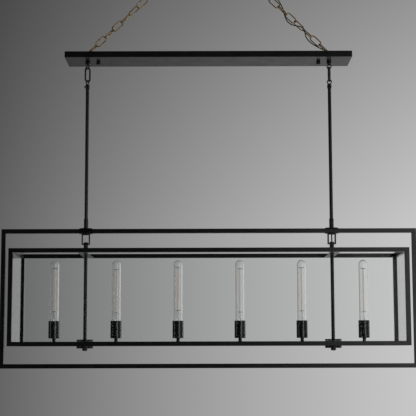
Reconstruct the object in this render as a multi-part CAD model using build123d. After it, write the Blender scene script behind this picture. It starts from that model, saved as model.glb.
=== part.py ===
from build123d import *
import math
import os

os.makedirs("parts", exist_ok=True)

# A linear island pendant for six tubular bulbs. It hangs from one ceiling hook on a
# brass chain, which spreads to the two ends of a shallow canopy. Two stems on
# interlocked swivel loops carry a flat outer frame, and a glazed cage hangs inside it.
# Millimetres. X runs along the fixture, Y from front to back and Z up. The origin is
# the middle of the ceiling plate's upper face, and heights are built from it downwards.

# ------------------------------------------------------------------ clearances
slip_gap = 0.1  # round a spigot, screw or pin in its hole
seat_gap = 0.3  # between a loose piece and what it rests on
wire_gap = 0.3  # round the lamp wire in its bore
cut_over = 1.0  # how far a cut runs past the face that it opens

# ------------------------------------------------------------------ main sizes
stem_spacing = 904.0
frame_width = 1524.0
frame_height = 508.0
frame_bar = 16.0
frame_wall = 1.5
cage_length = 1425.0
cage_depth = 280.0
cage_floor_gap = 46.5  # from the finials down to the outer frame's bottom bar
cage_bar = 15.5
cage_wall = 1.5
lamp_count = 6
lamp_inset = 147.5  # from the cage's end to the first lamp

# ------------------------------------------------------------------ ceiling plate and hook
plate_diameter = 100.0
plate_thickness = 5.0
plate_skin = 1.2  # metal left above the hook's threaded bore
plate_screw_circle = 76.0
plate_screw_hole = 5.5
plate_screw_count = 3
hook_wire = 7.0
hook_shank = 16.0
hook_bend = 14.0
hook_collar_diameter = 15.0
hook_collar_height = 3.0

# ------------------------------------------------------------------ chain
chain_wire = 4.4
link_inner_width = 15.2
chain_pitch = 42.5
chain_slack = 0.15
hook_rest_gap = 0.2
links_per_side = 14
twist_step = 30.0  # extra roll from one link to the next, where the chain is twisted
twist_steps = 3
twist_start_left = 4
twist_start_right = 2

# ------------------------------------------------------------------ chain eyes and strap
eye_wire = 4.4
eye_hole = 9.6
eye_lift = 0.1
eye_hub_diameter = 14.5
eye_hub_height = 4.0
strap_overhang = 48.0
strap_width = 60.0
strap_thickness = 3.0
outlet_slot_spacing = 88.9
outlet_slot_hole = 5.2
outlet_slot_length = 16.0
stud_inset = 40.0
stud_diameter = 5.0
stud_reach = 7.0
ground_screw_x = -120.0
ground_screw_y = 15.0
ground_screw_shank = 4.0
ground_screw_head = 8.4
ground_screw_head_height = 2.6

# ------------------------------------------------------------------ canopy
canopy_overhang = 78.5
canopy_width = 146.0
canopy_height = 22.5
canopy_sheet = 1.5
knob_diameter = 15.3
knob_height = 11.0
knob_bore_depth = 8.0
knob_edge = 1.2
knob_bore_gap = 0.3

# ------------------------------------------------------------------ swivel loops
nipple_diameter = 9.7
nipple_rise = 2.9
ring_wire = 4.2
ring_hole = 11.6
ring_spacing = 58.5
loop_collar_diameter = 17.5
loop_collar_height = 10.0
ring_sink = 0.25
swivel_bar = 4.8
swivel_width = 26.0
swivel_depth = 6.0
swivel_edge = 1.5
swivel_gap = 1.3
swivel_turn_left = 45.0
swivel_turn_right = 70.0
nut_across_flats = 15.5
strap_nut_height = 5.0
canopy_nut_height = 4.0

# ------------------------------------------------------------------ stems
hub_diameter = 16.5
hub_height = 15.0
hub_sink = 0.75
hub_spigot = 12.0
hub_bore_depth = 19.0
set_screw_shank = 3.0
set_screw_head = 4.6
set_screw_reach = 13.0
set_screw_tip = 3.4
stem_diameter = 12.8
stem_wall = 1.4
stem_length = 520.0
ferrule_diameter = 16.5
ferrule_height = 35.0
ferrule_ledge = 5.0
ferrule_edge = 1.0
washer_diameter = 50.0
washer_thickness = 2.0

# ------------------------------------------------------------------ yokes and rods
yoke_width = 30.5
yoke_height = 40.0
yoke_depth = 16.0
yoke_arm = 4.5
yoke_web = 4.0
cap_nut_diameter = 17.0
cap_nut_height = 5.0
cap_nut_skin = 1.0
coupling_diameter = 16.5
coupling_length = 36.0
coupling_socket = 20.0
cross_plate_width = 34.0
cross_plate_thickness = 3.0
rod_diameter = 12.8
rod_wall = 1.4
collar_diameter = 60.0
collar_thickness = 8.5
collar_recess = 3.0
finial_diameter = 19.0
finial_height = 9.0
finial_edge = 2.0
finial_reach = 12.0
finial_floor = 6.0
finial_cross_hole = 3.0

# ------------------------------------------------------------------ glazing
pane_thickness = 3.0
clip_wall = 1.0
clip_side_gap = 0.15
clip_depth = 3.0
clip_length = 10.0
long_pane_clips = 5
end_pane_clips = 2

# ------------------------------------------------------------------ sockets
rail_width = 20.0
neck_diameter = 13.4
neck_height = 12.5
neck_bore = 6.5
neck_reach_down = 5.5
neck_reach_up = 2.0
cover_diameter = 40.4
cover_wall = 1.5
cover_floor = 2.0
cover_height = 63.5
holder_diameter = 33.0
holder_height = 41.0
holder_floor = 15.0

# ------------------------------------------------------------------ bulbs
cap_diameter = 26.0
cap_gap = 0.5
contact_diameter = 10.0
contact_height = 2.7
contact_gap = 0.3
bulb_diameter = 32.0
bulb_glass = 1.0
bulb_neck_diameter = 25.0
bulb_shoulder = 12.0
bulb_length = 241.4
mount_stem_diameter = 9.0
mount_stem_height = 30.0
lead_wire = 1.2
lead_spread = 4.4
filament_bottom = 53.0  # lower cross wire above the cap's top
filament_length = 159.0
filament_stick = 2.2
filament_spacing = 3.4
cross_wire = 1.2
cross_wire_span = 17.0
filament_raise = (1.0, -4.0, 4.0, -1.5, 2.0, -1.5)  # how each bulb's filament is set

# ------------------------------------------------------------------ wiring
lamp_wire = 4.8
wire_bore = lamp_wire + 2 * wire_gap
harness_wire = 2.4
harness_spacing = 13.0
lead_sleeve = 5.4
lead_drop = 2.0
cord_diameter = 4.2
cord_bore_gap = 0.2
bushing_body = 8.2
bushing_flange = 13.0
bushing_flange_height = 2.0
strap_bushing_out = 10.0  # outward of the right stem
strap_bushing_back = 19.0
plate_bushing_x = 36.0
connector_diameter = 11.0
connector_tip = 7.0
connector_length = 20.0
connector_spacing = 11.5
connector_x = 372.0
conductor_diameter = 1.8
conductor_spacing = 1.0  # inside the sheath
cord_bend_share = 0.45
strap_exit_run = 11.5
plate_exit_run = 20.0
plate_bend_run = 43.0  # from the plate to the last corner below it
plate_bend_side = 1.5
tail_strip = 18.0  # bared conductors from the sheath to the connectors
tail_turn = 5.0
tail_run = 20.0
tail_side = 1.5
conductor_straight = 4.0

# ------------------------------------------------------------------ heights, from the ceiling down
stem_x = stem_spacing / 2
plate_bottom = -plate_thickness
hook_centre = plate_bottom - hook_shank - hook_bend
saddle_top = hook_centre - hook_bend + hook_wire / 2
chain_top = saddle_top + hook_rest_gap - link_inner_width / 2
link_inner_length = chain_pitch + chain_slack
link_bend = (link_inner_width + chain_wire) / 2
link_straight = link_inner_length - link_inner_width
eye_radius = (eye_hole + eye_wire) / 2
eye_rise = eye_hole / 2 + eye_wire + eye_lift
chain_length = link_inner_width / 2 + links_per_side * chain_pitch + eye_hole / 2
chain_run = stem_x - link_straight / 2
chain_drop = math.sqrt(chain_length**2 - chain_run**2)
eye_centre = chain_top - chain_drop
strap_top = eye_centre - eye_rise
strap_bottom = strap_top - strap_thickness
canopy_top = strap_top
canopy_bottom = canopy_top - canopy_height
canopy_floor = canopy_bottom + canopy_sheet
ring_radius = (ring_hole + ring_wire) / 2
ring_outer = ring_radius + ring_wire / 2
upper_ring = canopy_bottom - loop_collar_height - ring_outer + ring_sink
lower_ring = upper_ring - ring_spacing
hub_top = lower_ring - ring_outer + hub_sink
stem_top = hub_top - hub_height
stem_bottom = stem_top - stem_length
ferrule_bottom = stem_bottom - ferrule_ledge
ferrule_top = ferrule_bottom + ferrule_height
frame_top = ferrule_bottom - washer_thickness
frame_under = frame_top - frame_bar
frame_bottom = frame_top - frame_height
yoke_top = frame_under - washer_thickness
yoke_bottom = yoke_top - yoke_height
web_top = yoke_bottom + yoke_web
coupling_bottom = yoke_bottom - coupling_length
rod_top = coupling_bottom + coupling_socket
cross_plate_bottom = coupling_bottom - cross_plate_thickness
cage_top = cross_plate_bottom + cage_bar
cage_foot = finial_height + collar_thickness  # collars and finials under the cage
cage_height = cage_top - cage_foot - cage_floor_gap - frame_bar - frame_bottom
cage_bottom = cage_top - cage_height
rail_top = cage_bottom + cage_bar
collar_top = rail_top + collar_thickness
rod_bottom = collar_top - collar_recess
collar_bottom = cage_bottom - collar_thickness
finial_bottom = collar_bottom - finial_height
cover_bottom = rail_top + neck_height
cover_top = cover_bottom + cover_height
holder_bottom = cover_bottom + cover_floor
holder_top = holder_bottom + holder_height
holder_bore_bottom = holder_bottom + holder_floor
cap_bottom = holder_bore_bottom + contact_gap + contact_height
cap_top = holder_top
bulb_top = cap_top + bulb_length

nipple_hole_radius = nipple_diameter / 2 + slip_gap
stem_socket_radius = stem_diameter / 2 + slip_gap
rod_socket_radius = rod_diameter / 2 + slip_gap
cage_half = cage_length / 2
cage_half_depth = cage_depth / 2
lamp_pitch = (cage_length - 2 * lamp_inset) / (lamp_count - 1)
lamp_xs = [(i - (lamp_count - 1) / 2) * lamp_pitch for i in range(lamp_count)]


# ------------------------------------------------------------------ helpers
def disc(radius, low, high, x=0, y=0):
    """An upright solid cylinder between two heights."""
    return Pos(x, y, (low + high) / 2) * Cylinder(radius, high - low)


def pipe(outer_radius, inner_radius, low, high, x=0, y=0):
    """An upright open tube between two heights."""
    return disc(outer_radius, low, high, x, y) - bore(inner_radius, low, high, x, y)


def bore(radius, low, high, x=0, y=0):
    """A cutter that runs past both heights."""
    return disc(radius, low - cut_over, high + cut_over, x, y)


def block(x_low, x_high, y_low, y_high, z_low, z_high):
    """A box between its six limits."""
    middle = Pos((x_low + x_high) / 2, (y_low + y_high) / 2, (z_low + z_high) / 2)
    return middle * Box(x_high - x_low, y_high - y_low, z_high - z_low)


def rod_between(start, end, radius):
    """A straight round bar from one point to another."""
    axis = Vector(*end) - Vector(*start)
    middle = (Vector(*end) + Vector(*start)) / 2
    return Plane(middle, z_dir=axis).location * Cylinder(radius, axis.length)


def softened(solid, radius, ends):
    """Rounds the circular edges at the named ends of an upright solid."""
    levels = solid.edges().filter_by(GeomType.CIRCLE).group_by(Axis.Z)
    for end in ends:
        solid = fillet(levels[end], radius)
    return solid


def write(name, solids):
    """Writes one node of one or more solids."""
    shapes = solids if isinstance(solids, list) else [solids]
    pieces = [piece for shape in shapes for piece in shape.solids()]
    export_step(Compound(children=pieces), f"parts/{name}.step")


# ------------------------------------------------------------------ ceiling plate
plate_radius = plate_diameter / 2
hook_radius = hook_wire / 2
hook_entry_top = -plate_skin
plate_bushing_radius = bushing_body / 2 + slip_gap
ceiling_plate = disc(plate_radius, plate_bottom, 0)
hook_bore = disc(hook_radius + slip_gap, plate_bottom - cut_over, hook_entry_top)
ceiling_plate = ceiling_plate - hook_bore
ceiling_plate = ceiling_plate - bore(plate_bushing_radius, plate_bottom, 0, plate_bushing_x)
for i in range(plate_screw_count):
    angle = math.radians(90 + i * 360 / plate_screw_count)
    screw_x = plate_screw_circle / 2 * math.cos(angle)
    screw_y = plate_screw_circle / 2 * math.sin(angle)
    ceiling_plate = ceiling_plate - bore(plate_screw_hole / 2, plate_bottom, 0, screw_x, screw_y)
write("ceiling_plate", ceiling_plate)

# ------------------------------------------------------------------ hook, in the YZ plane
hook_plane = Plane((0, 0, hook_centre), x_dir=(0, 0, 1), z_dir=(-1, 0, 0))
hook = disc(hook_radius, hook_centre + hook_bend, hook_entry_top)
hook = hook + disc(hook_collar_diameter / 2, plate_bottom - hook_collar_height, plate_bottom)
hook = hook + Pos(0, 0, hook_centre + hook_bend) * Sphere(hook_radius)
hook = hook + hook_plane.location * Torus(hook_bend, hook_radius, major_angle=270)
hook = hook + Pos(0, -hook_bend, hook_centre) * Sphere(hook_radius)
write("ceiling_hook", hook)


# ------------------------------------------------------------------ chain
def chain_link():
    """One oval link in the XY plane, with its length along X."""
    half = link_straight / 2
    path = Line((0, -link_bend), (half, -link_bend))
    path = path + CenterArc((half, 0), link_bend, -90, 180)
    path = path + Line((half, link_bend), (-half, link_bend))
    path = path + CenterArc((-half, 0), link_bend, 90, 180)
    path = path + Line((-half, -link_bend), (0, -link_bend))
    section = Plane((0, -link_bend, 0), z_dir=(1, 0, 0)) * Circle(chain_wire / 2)
    return sweep(section, path=path)


link_shape = chain_link()


def chain_frame(side):
    """The eye's centre, the chain's direction up from it, and its lower side's normal."""
    rise = chain_drop / chain_length
    lean = chain_run / chain_length
    eye = Vector(side * stem_x, 0, eye_centre)
    along = Vector(-side * lean, 0, rise)
    below = Vector(-side * rise, 0, -lean)
    return eye, along, below


def chain_side(side, twist_start):
    """The links of one side, from the eye up to the hook."""
    eye, along, below = chain_frame(side)
    links = []
    for k in range(1, links_per_side + 1):
        twisted = min(max(k - twist_start, 0), twist_steps)
        roll = math.radians(90 * k + twist_step * twisted)
        centre = eye + along * (eye_hole / 2 + (k - 0.5) * chain_pitch)
        across = below * math.cos(roll) + Vector(0, 1, 0) * math.sin(roll)
        links.append(Plane(centre, x_dir=along, z_dir=along.cross(across)).location * link_shape)
    return links


write("chain_left", chain_side(-1, twist_start_left))
write("chain_right", chain_side(1, twist_start_right))
write("chain_top_link", Pos(0, 0, chain_top) * Rot(90, 0, 0) * link_shape)

# ------------------------------------------------------------------ chain eyes
chain_eyes = []
for side in (-1, 1):
    x = side * stem_x
    eye = Pos(x, 0, eye_centre) * Rot(90, 0, 0) * Torus(eye_radius, eye_wire / 2)
    eye = eye + disc(eye_hub_diameter / 2, strap_top, strap_top + eye_hub_height, x)
    eye = eye - disc(nipple_hole_radius, strap_top - cut_over, strap_top + nipple_rise + slip_gap, x)
    chain_eyes.append(eye)
write("chain_eyes", chain_eyes)

# ------------------------------------------------------------------ strap
strap_half = stem_x + strap_overhang
stud_x = stem_x - stud_inset
bushing_x = stem_x + strap_bushing_out
strap = block(-strap_half, strap_half, -strap_width / 2, strap_width / 2, strap_bottom, strap_top)
for side in (-1, 1):
    strap = strap - bore(nipple_hole_radius, strap_bottom, strap_top, side * stem_x)
    slot = extrude(SlotOverall(outlet_slot_length, outlet_slot_hole), strap_thickness + 2 * cut_over)
    strap = strap - Pos(side * outlet_slot_spacing / 2, 0, strap_bottom - cut_over) * slot
    strap = strap + disc(stud_diameter / 2, canopy_bottom - stud_reach, strap_bottom, side * stud_x)
strap = strap - bore(bushing_body / 2 + slip_gap, strap_bottom, strap_top, bushing_x, strap_bushing_back)
ground_hole = ground_screw_shank / 2 + slip_gap
strap = strap - bore(ground_hole, strap_bottom, strap_top, ground_screw_x, ground_screw_y)
write("mounting_strap", strap)

ground_screw = disc(ground_screw_shank / 2, strap_bottom, strap_top, ground_screw_x, ground_screw_y)
screw_under = strap_bottom - ground_screw_head_height
head = disc(ground_screw_head / 2, screw_under, strap_bottom, ground_screw_x, ground_screw_y)
write("ground_screw", ground_screw + head)

# ------------------------------------------------------------------ canopy
canopy_half = stem_x + canopy_overhang
canopy_half_width = canopy_width / 2
canopy = block(
    -canopy_half, canopy_half, -canopy_half_width, canopy_half_width, canopy_bottom, canopy_top
)
canopy = canopy - block(
    canopy_sheet - canopy_half,
    canopy_half - canopy_sheet,
    canopy_sheet - canopy_half_width,
    canopy_half_width - canopy_sheet,
    canopy_floor,
    canopy_top + cut_over,
)
for side in (-1, 1):
    canopy = canopy - bore(nipple_hole_radius, canopy_bottom, canopy_floor, side * stem_x)
    canopy = canopy - bore(stud_diameter / 2 + seat_gap, canopy_bottom, canopy_floor, side * stud_x)
write("canopy", canopy)


def knob(x):
    """A round knob on a stud, just clear of the canopy's underside."""
    top = canopy_bottom - seat_gap
    body = softened(disc(knob_diameter / 2, top - knob_height, top, x), knob_edge, (0,))
    return body - disc(stud_diameter / 2 + knob_bore_gap, top - knob_bore_depth, top + cut_over, x)


write("canopy_knob_left", knob(-stud_x))
write("canopy_knob_right", knob(stud_x))


# ------------------------------------------------------------------ swivel
def upright_plane(x, z, turn):
    """An upright plane whose horizontal direction is turned from X."""
    c = math.cos(math.radians(turn))
    s = math.sin(math.radians(turn))
    return Plane((x, 0, z), x_dir=(c, s, 0), z_dir=(s, -c, 0))


def swivel_ring(x, z, turn):
    return upright_plane(x, z, turn).location * Torus(ring_radius, ring_wire / 2)


def canopy_loop(side, turn):
    """A nipple through canopy and strap, with a collar and a ring below the canopy."""
    x = side * stem_x
    collar_low = canopy_bottom - loop_collar_height
    loop = disc(loop_collar_diameter / 2, collar_low, canopy_bottom, x)
    loop = loop + disc(nipple_diameter / 2, canopy_bottom, strap_top + nipple_rise, x)
    loop = loop + swivel_ring(x, upper_ring, turn - 90)
    return loop - disc(wire_bore / 2, canopy_bottom, strap_top + nipple_rise + cut_over, x)


def hex_nut(x, low, height):
    outline = RegularPolygon(nut_across_flats / 2, 6, major_radius=False)
    nut = Pos(x, 0, low) * extrude(outline, height)
    return nut - bore(nipple_hole_radius, low, low + height, x)


swivel_length = ring_spacing - ring_hole + 2 * swivel_bar + 2 * swivel_gap


def swivel_link(side, turn):
    """A flat oval link through the upper and the lower ring."""
    outline = SlotOverall(swivel_length, swivel_width)
    window = SlotOverall(swivel_length - 2 * swivel_bar, swivel_width - 2 * swivel_bar)
    link = extrude(outline - window, swivel_depth / 2, both=True)
    rims = link.faces().filter_by(Axis.Z).edges()
    link = fillet(rims, min(swivel_edge, swivel_bar / 3, swivel_depth / 3))
    middle = (upper_ring + lower_ring) / 2
    return upright_plane(side * stem_x, middle, turn).location * Rot(0, 0, 90) * link


write("canopy_loops", [canopy_loop(-1, swivel_turn_left), canopy_loop(1, swivel_turn_right)])
strap_nuts = []
for side in (-1, 1):
    strap_nuts.append(hex_nut(side * stem_x, strap_bottom - strap_nut_height, strap_nut_height))
    strap_nuts.append(hex_nut(side * stem_x, canopy_floor, canopy_nut_height))
write("strap_nuts", strap_nuts)
write("swivel_link_left", swivel_link(-1, swivel_turn_left))
write("swivel_link_right", swivel_link(1, swivel_turn_right))


# ------------------------------------------------------------------ stems
def stem_loop(side, turn, screw_direction):
    """The ring, hub and spigot that close a stem's top, and the hub's side set screw."""
    x = side * stem_x
    hub = disc(hub_diameter / 2, stem_top, hub_top, x)
    hub = hub + disc(nipple_diameter / 2, stem_top - hub_spigot, stem_top, x)
    hub = hub + swivel_ring(x, lower_ring, turn - 90)
    spigot_low = stem_top - hub_spigot
    hub = hub - disc(wire_bore / 2, spigot_low - cut_over, spigot_low + hub_bore_depth, x)
    out = Vector(*screw_direction)
    axis = Vector(x, 0, stem_top + hub_height / 2)
    tip = axis + out * set_screw_tip
    hole_end = axis + out * (hub_diameter / 2 + cut_over)
    hub = hub - rod_between(tip, hole_end, set_screw_shank / 2 + slip_gap)
    head_seat = axis + out * (hub_diameter / 2 + slip_gap)
    screw_end = axis + out * set_screw_reach
    screw = rod_between(tip, screw_end, set_screw_shank / 2)
    screw = screw + rod_between(head_seat, screw_end, set_screw_head / 2)
    return hub, screw


left_loop, left_screw = stem_loop(-1, swivel_turn_left, (-1, 0, 0))
right_loop, right_screw = stem_loop(1, swivel_turn_right, (0, 1, 0))
write("stem_loops", [left_loop, right_loop])
write("stem_loop_screws", [left_screw, right_screw])


def stem(side):
    radius = stem_diameter / 2
    return pipe(radius, radius - stem_wall, stem_bottom, stem_top, side * stem_x)


write("stem_left", stem(-1))
write("stem_right", stem(1))


def stem_ferrule(side):
    """The cup at a stem's foot, with a spigot through the frame into the yoke."""
    x = side * stem_x
    cup = disc(ferrule_diameter / 2, ferrule_bottom, ferrule_top, x)
    cup = softened(cup, ferrule_edge, (0, -1))
    cup = cup - disc(stem_socket_radius, stem_bottom, ferrule_top + cut_over, x)
    cup = cup + disc(nipple_diameter / 2, yoke_top - yoke_web, ferrule_bottom, x)
    return cup - bore(wire_bore / 2, yoke_top - yoke_web, stem_bottom, x)


write("stem_ferrules", [stem_ferrule(-1), stem_ferrule(1)])
frame_washers = []
for side in (-1, 1):
    for low in (frame_top, yoke_top):
        high = low + washer_thickness
        frame_washers.append(pipe(washer_diameter / 2, nipple_hole_radius, low, high, side * stem_x))
write("frame_washers", frame_washers)

# ------------------------------------------------------------------ outer frame
frame_half = frame_width / 2
bar_half = frame_bar / 2
post_port = frame_bar - 2 * frame_wall


def outer_bar(low, port_low, port_high):
    """A closed square tube along X, ported into its two posts."""
    high = low + frame_bar
    bar = block(-frame_half, frame_half, -bar_half, bar_half, low, high)
    inside = bar_half - frame_wall
    end = frame_half - frame_wall
    cavity = block(-end, end, -inside, inside, low + frame_wall, high - frame_wall)
    for side in (-1, 1):
        near = side * (frame_half - frame_wall)
        far = side * (frame_half - frame_wall - post_port)
        cavity = cavity + block(min(near, far), max(near, far), -inside, inside, port_low, port_high)
    return bar - cavity


top_bar = outer_bar(frame_under, frame_under - cut_over, frame_under + frame_wall)
for side in (-1, 1):
    top_bar = top_bar - bore(nipple_hole_radius, frame_under, frame_top, side * stem_x)
write("outer_top_bar", top_bar)
bottom_bar_top = frame_bottom + frame_bar
write(
    "outer_bottom_bar",
    outer_bar(frame_bottom, bottom_bar_top - frame_wall, bottom_bar_top + cut_over),
)


def outer_post(side):
    outer_x = side * frame_half
    inner_x = side * (frame_half - frame_bar)
    low_x = min(outer_x, inner_x)
    high_x = max(outer_x, inner_x)
    post = block(low_x, high_x, -bar_half, bar_half, bottom_bar_top, frame_under)
    inside = bar_half - frame_wall
    return post - block(
        low_x + frame_wall,
        high_x - frame_wall,
        -inside,
        inside,
        bottom_bar_top - cut_over,
        frame_under + cut_over,
    )


write("outer_left_post", outer_post(-1))
write("outer_right_post", outer_post(1))


# ------------------------------------------------------------------ yokes, couplings and rods
def yoke(side):
    """An open rectangular loop under the outer frame."""
    x = side * stem_x
    half = yoke_width / 2
    loop = block(x - half, x + half, -yoke_depth / 2, yoke_depth / 2, yoke_bottom, yoke_top)
    window_half = half - yoke_arm
    back = yoke_depth / 2 + cut_over
    window_top = yoke_top - yoke_web
    loop = loop - block(x - window_half, x + window_half, -back, back, web_top, window_top)
    return loop - bore(nipple_hole_radius, yoke_bottom, yoke_top, x)


def yoke_cap_nut(side):
    x = side * stem_x
    top = web_top + cap_nut_height
    nut = softened(disc(cap_nut_diameter / 2, web_top, top, x), cap_nut_skin, (-1,))
    nut = nut - disc(nipple_hole_radius, web_top - cut_over, top - cap_nut_skin, x)
    return nut - bore(wire_bore / 2, web_top, top, x)


def rod_coupling(side):
    """Joins the yoke's lower web to the rod, and stands on the cross plate."""
    x = side * stem_x
    spigot_top = web_top + cap_nut_height - cap_nut_skin - slip_gap
    body = disc(coupling_diameter / 2, coupling_bottom, yoke_bottom, x)
    body = body + disc(nipple_diameter / 2, yoke_bottom, spigot_top, x)
    body = body - disc(rod_socket_radius, coupling_bottom - cut_over, rod_top, x)
    return body - bore(wire_bore / 2, rod_top, spigot_top, x)


def cross_plate(side):
    x = side * stem_x
    half = cross_plate_width / 2
    reach = cage_half_depth - cage_bar
    plate = block(x - half, x + half, -reach, reach, cross_plate_bottom, coupling_bottom)
    return plate - bore(rod_socket_radius, cross_plate_bottom, coupling_bottom, x)


def cage_rod(side):
    radius = rod_diameter / 2
    return pipe(radius, radius - rod_wall, rod_bottom, rod_top, side * stem_x)


def finial(side):
    """The nut under the lower collar, with a hollow spigot up into the rod."""
    x = side * stem_x
    body = softened(disc(finial_diameter / 2, finial_bottom, collar_bottom, x), finial_edge, (0,))
    spigot_top = rod_bottom + finial_reach
    spigot_radius = rod_diameter / 2 - rod_wall - slip_gap
    body = body + disc(spigot_radius, collar_bottom, spigot_top, x)
    body = body - disc(wire_bore / 2, finial_bottom + finial_floor, spigot_top + cut_over, x)
    middle = (cage_bottom + rail_top) / 2
    reach = spigot_radius + cut_over
    return body - rod_between((x, -reach, middle), (x, reach, middle), finial_cross_hole / 2)


rod_spigot_hole = rod_diameter / 2 - rod_wall
rod_collars = []
for side in (-1, 1):
    x = side * stem_x
    upper = disc(collar_diameter / 2, rail_top, collar_top, x)
    upper = upper - bore(rod_spigot_hole, rail_top, collar_top, x)
    upper = upper - disc(rod_socket_radius, rod_bottom, collar_top + cut_over, x)
    rod_collars.append(upper)
    rod_collars.append(pipe(collar_diameter / 2, rod_spigot_hole, collar_bottom, cage_bottom, x))
write("yokes", [yoke(-1), yoke(1)])
write("yoke_cap_nuts", [yoke_cap_nut(-1), yoke_cap_nut(1)])
write("rod_couplings", [rod_coupling(-1), rod_coupling(1)])
write("cross_plates", [cross_plate(-1), cross_plate(1)])
write("cage_rods", [cage_rod(-1), cage_rod(1)])
write("rod_collars", rod_collars)
write("finials", [finial(-1), finial(1)])

# ------------------------------------------------------------------ cage
cage_inside = cage_half - cage_bar
depth_inside = cage_half_depth - cage_bar
post_low = rail_top
post_high = cage_top - cage_bar


def long_rail(side, low, port_low, port_high):
    """A closed square tube along the front or back, ported into its two posts."""
    high = low + cage_bar
    y_low = min(side * cage_half_depth, side * depth_inside)
    y_high = y_low + cage_bar
    rail = block(-cage_half, cage_half, y_low, y_high, low, high)
    end = cage_half - cage_wall
    y_in_low = y_low + cage_wall
    y_in_high = y_high - cage_wall
    cavity = block(-end, end, y_in_low, y_in_high, low + cage_wall, high - cage_wall)
    port = cage_bar - 2 * cage_wall
    for corner in (-1, 1):
        near = corner * end
        far = corner * (end - port)
        cavity = cavity + block(
            min(near, far), max(near, far), y_in_low, y_in_high, port_low, port_high
        )
    return rail - cavity


def end_rail(side, low):
    """An open square tube between the front and the back rail."""
    high = low + cage_bar
    x_low = min(side * cage_half, side * cage_inside)
    x_high = x_low + cage_bar
    rail = block(x_low, x_high, -depth_inside, depth_inside, low, high)
    reach = depth_inside + cut_over
    return rail - block(
        x_low + cage_wall, x_high - cage_wall, -reach, reach, low + cage_wall, high - cage_wall
    )


def cage_post(x_side, y_side):
    x_low = min(x_side * cage_half, x_side * cage_inside)
    y_low = min(y_side * cage_half_depth, y_side * depth_inside)
    post = block(x_low, x_low + cage_bar, y_low, y_low + cage_bar, post_low, post_high)
    inner = cage_bar - cage_wall
    return post - block(
        x_low + cage_wall,
        x_low + inner,
        y_low + cage_wall,
        y_low + inner,
        post_low - cut_over,
        post_high + cut_over,
    )


top_rails = []
bottom_rails = []
cage_posts = []
for side in (-1, 1):
    top_rails.append(long_rail(side, post_high, post_high - cut_over, post_high + cage_wall))
    top_rails.append(end_rail(side, post_high))
    bottom_rails.append(long_rail(side, cage_bottom, rail_top - cage_wall, rail_top + cut_over))
    bottom_rails.append(end_rail(side, cage_bottom))
    cage_posts.append(cage_post(-1, side))
    cage_posts.append(cage_post(1, side))
write("cage_top_rails", top_rails)
write("cage_bottom_rails", bottom_rails)
write("cage_posts", cage_posts)

socket_rail = block(-cage_inside, cage_inside, -rail_width / 2, rail_width / 2, cage_bottom, rail_top)
socket_rail = socket_rail - block(
    -cage_inside - cut_over,
    cage_inside + cut_over,
    cage_wall - rail_width / 2,
    rail_width / 2 - cage_wall,
    cage_bottom + cage_wall,
    rail_top - cage_wall,
)
for x in lamp_xs:
    socket_rail = socket_rail - bore(nipple_hole_radius, rail_top - cage_wall, rail_top, x)
for side in (-1, 1):
    socket_rail = socket_rail - bore(rod_spigot_hole, cage_bottom, rail_top, side * stem_x)
write("socket_rail", socket_rail)

# ------------------------------------------------------------------ glazing
pane_gap = clip_wall + seat_gap
pane_half = pane_thickness / 2
pane_low = post_low + pane_gap
pane_high = post_high - pane_gap
long_pane_y = cage_half_depth - cage_bar / 2
end_pane_x = cage_half - cage_bar / 2


def long_pane(side):
    y = side * long_pane_y
    end = cage_inside - pane_gap
    return block(-end, end, y - pane_half, y + pane_half, pane_low, pane_high)


def end_pane(side):
    x = side * end_pane_x
    end = depth_inside - pane_gap
    return block(x - pane_half, x + pane_half, -end, end, pane_low, pane_high)


def clip():
    """A U clip that stands on a rail, with its length along X."""
    inside = pane_half + clip_side_gap
    outside = inside + clip_wall
    shape = block(-clip_length / 2, clip_length / 2, -outside, outside, 0, clip_depth)
    reach = clip_length / 2 + cut_over
    return shape - block(-reach, reach, -inside, inside, clip_wall, clip_depth + cut_over)


clip_shape = clip()
glass_clips = []
for side in (-1, 1):
    for i in range(long_pane_clips):
        x = (i + 0.5 - long_pane_clips / 2) * 2 * cage_inside / long_pane_clips
        glass_clips.append(Pos(x, side * long_pane_y, post_low) * clip_shape)
        glass_clips.append(Pos(x, side * long_pane_y, post_high) * Rot(180, 0, 0) * clip_shape)
    for i in range(end_pane_clips):
        y = (i + 0.5 - end_pane_clips / 2) * 2 * depth_inside / end_pane_clips
        lower = Pos(side * end_pane_x, y, post_low) * Rot(0, 0, 90)
        upper = Pos(side * end_pane_x, y, post_high) * Rot(0, 0, 90) * Rot(180, 0, 0)
        glass_clips.append(lower * clip_shape)
        glass_clips.append(upper * clip_shape)
write("glass_front", long_pane(-1))
write("glass_rear", long_pane(1))
write("glass_ends", [end_pane(-1), end_pane(1)])
write("glass_clips", glass_clips)

# ------------------------------------------------------------------ sockets
socket_necks = []
socket_covers = []
lamp_holders = []
neck_top = holder_bottom + neck_reach_up
for x in lamp_xs:
    neck = disc(neck_diameter / 2, rail_top, cover_bottom, x)
    neck = neck + disc(nipple_diameter / 2, rail_top - neck_reach_down, neck_top, x)
    socket_necks.append(neck - bore(neck_bore / 2, rail_top - neck_reach_down, neck_top, x))
    cover = disc(cover_diameter / 2, cover_bottom, cover_top, x)
    cover = cover - disc(cover_diameter / 2 - cover_wall, holder_bottom, cover_top + cut_over, x)
    socket_covers.append(cover - bore(nipple_hole_radius, cover_bottom, holder_bottom, x))
    holder = disc(holder_diameter / 2, holder_bottom, holder_top, x)
    holder = holder - disc(cap_diameter / 2 + cap_gap, holder_bore_bottom, holder_top + cut_over, x)
    holder = holder - bore(neck_bore / 2, holder_bottom, holder_bore_bottom, x)
    recess = disc(nipple_hole_radius, holder_bottom - cut_over, neck_top + slip_gap, x)
    lamp_holders.append(holder - recess)
write("socket_necks", socket_necks)
write("socket_covers", socket_covers)
write("lamp_holders", lamp_holders)


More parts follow.
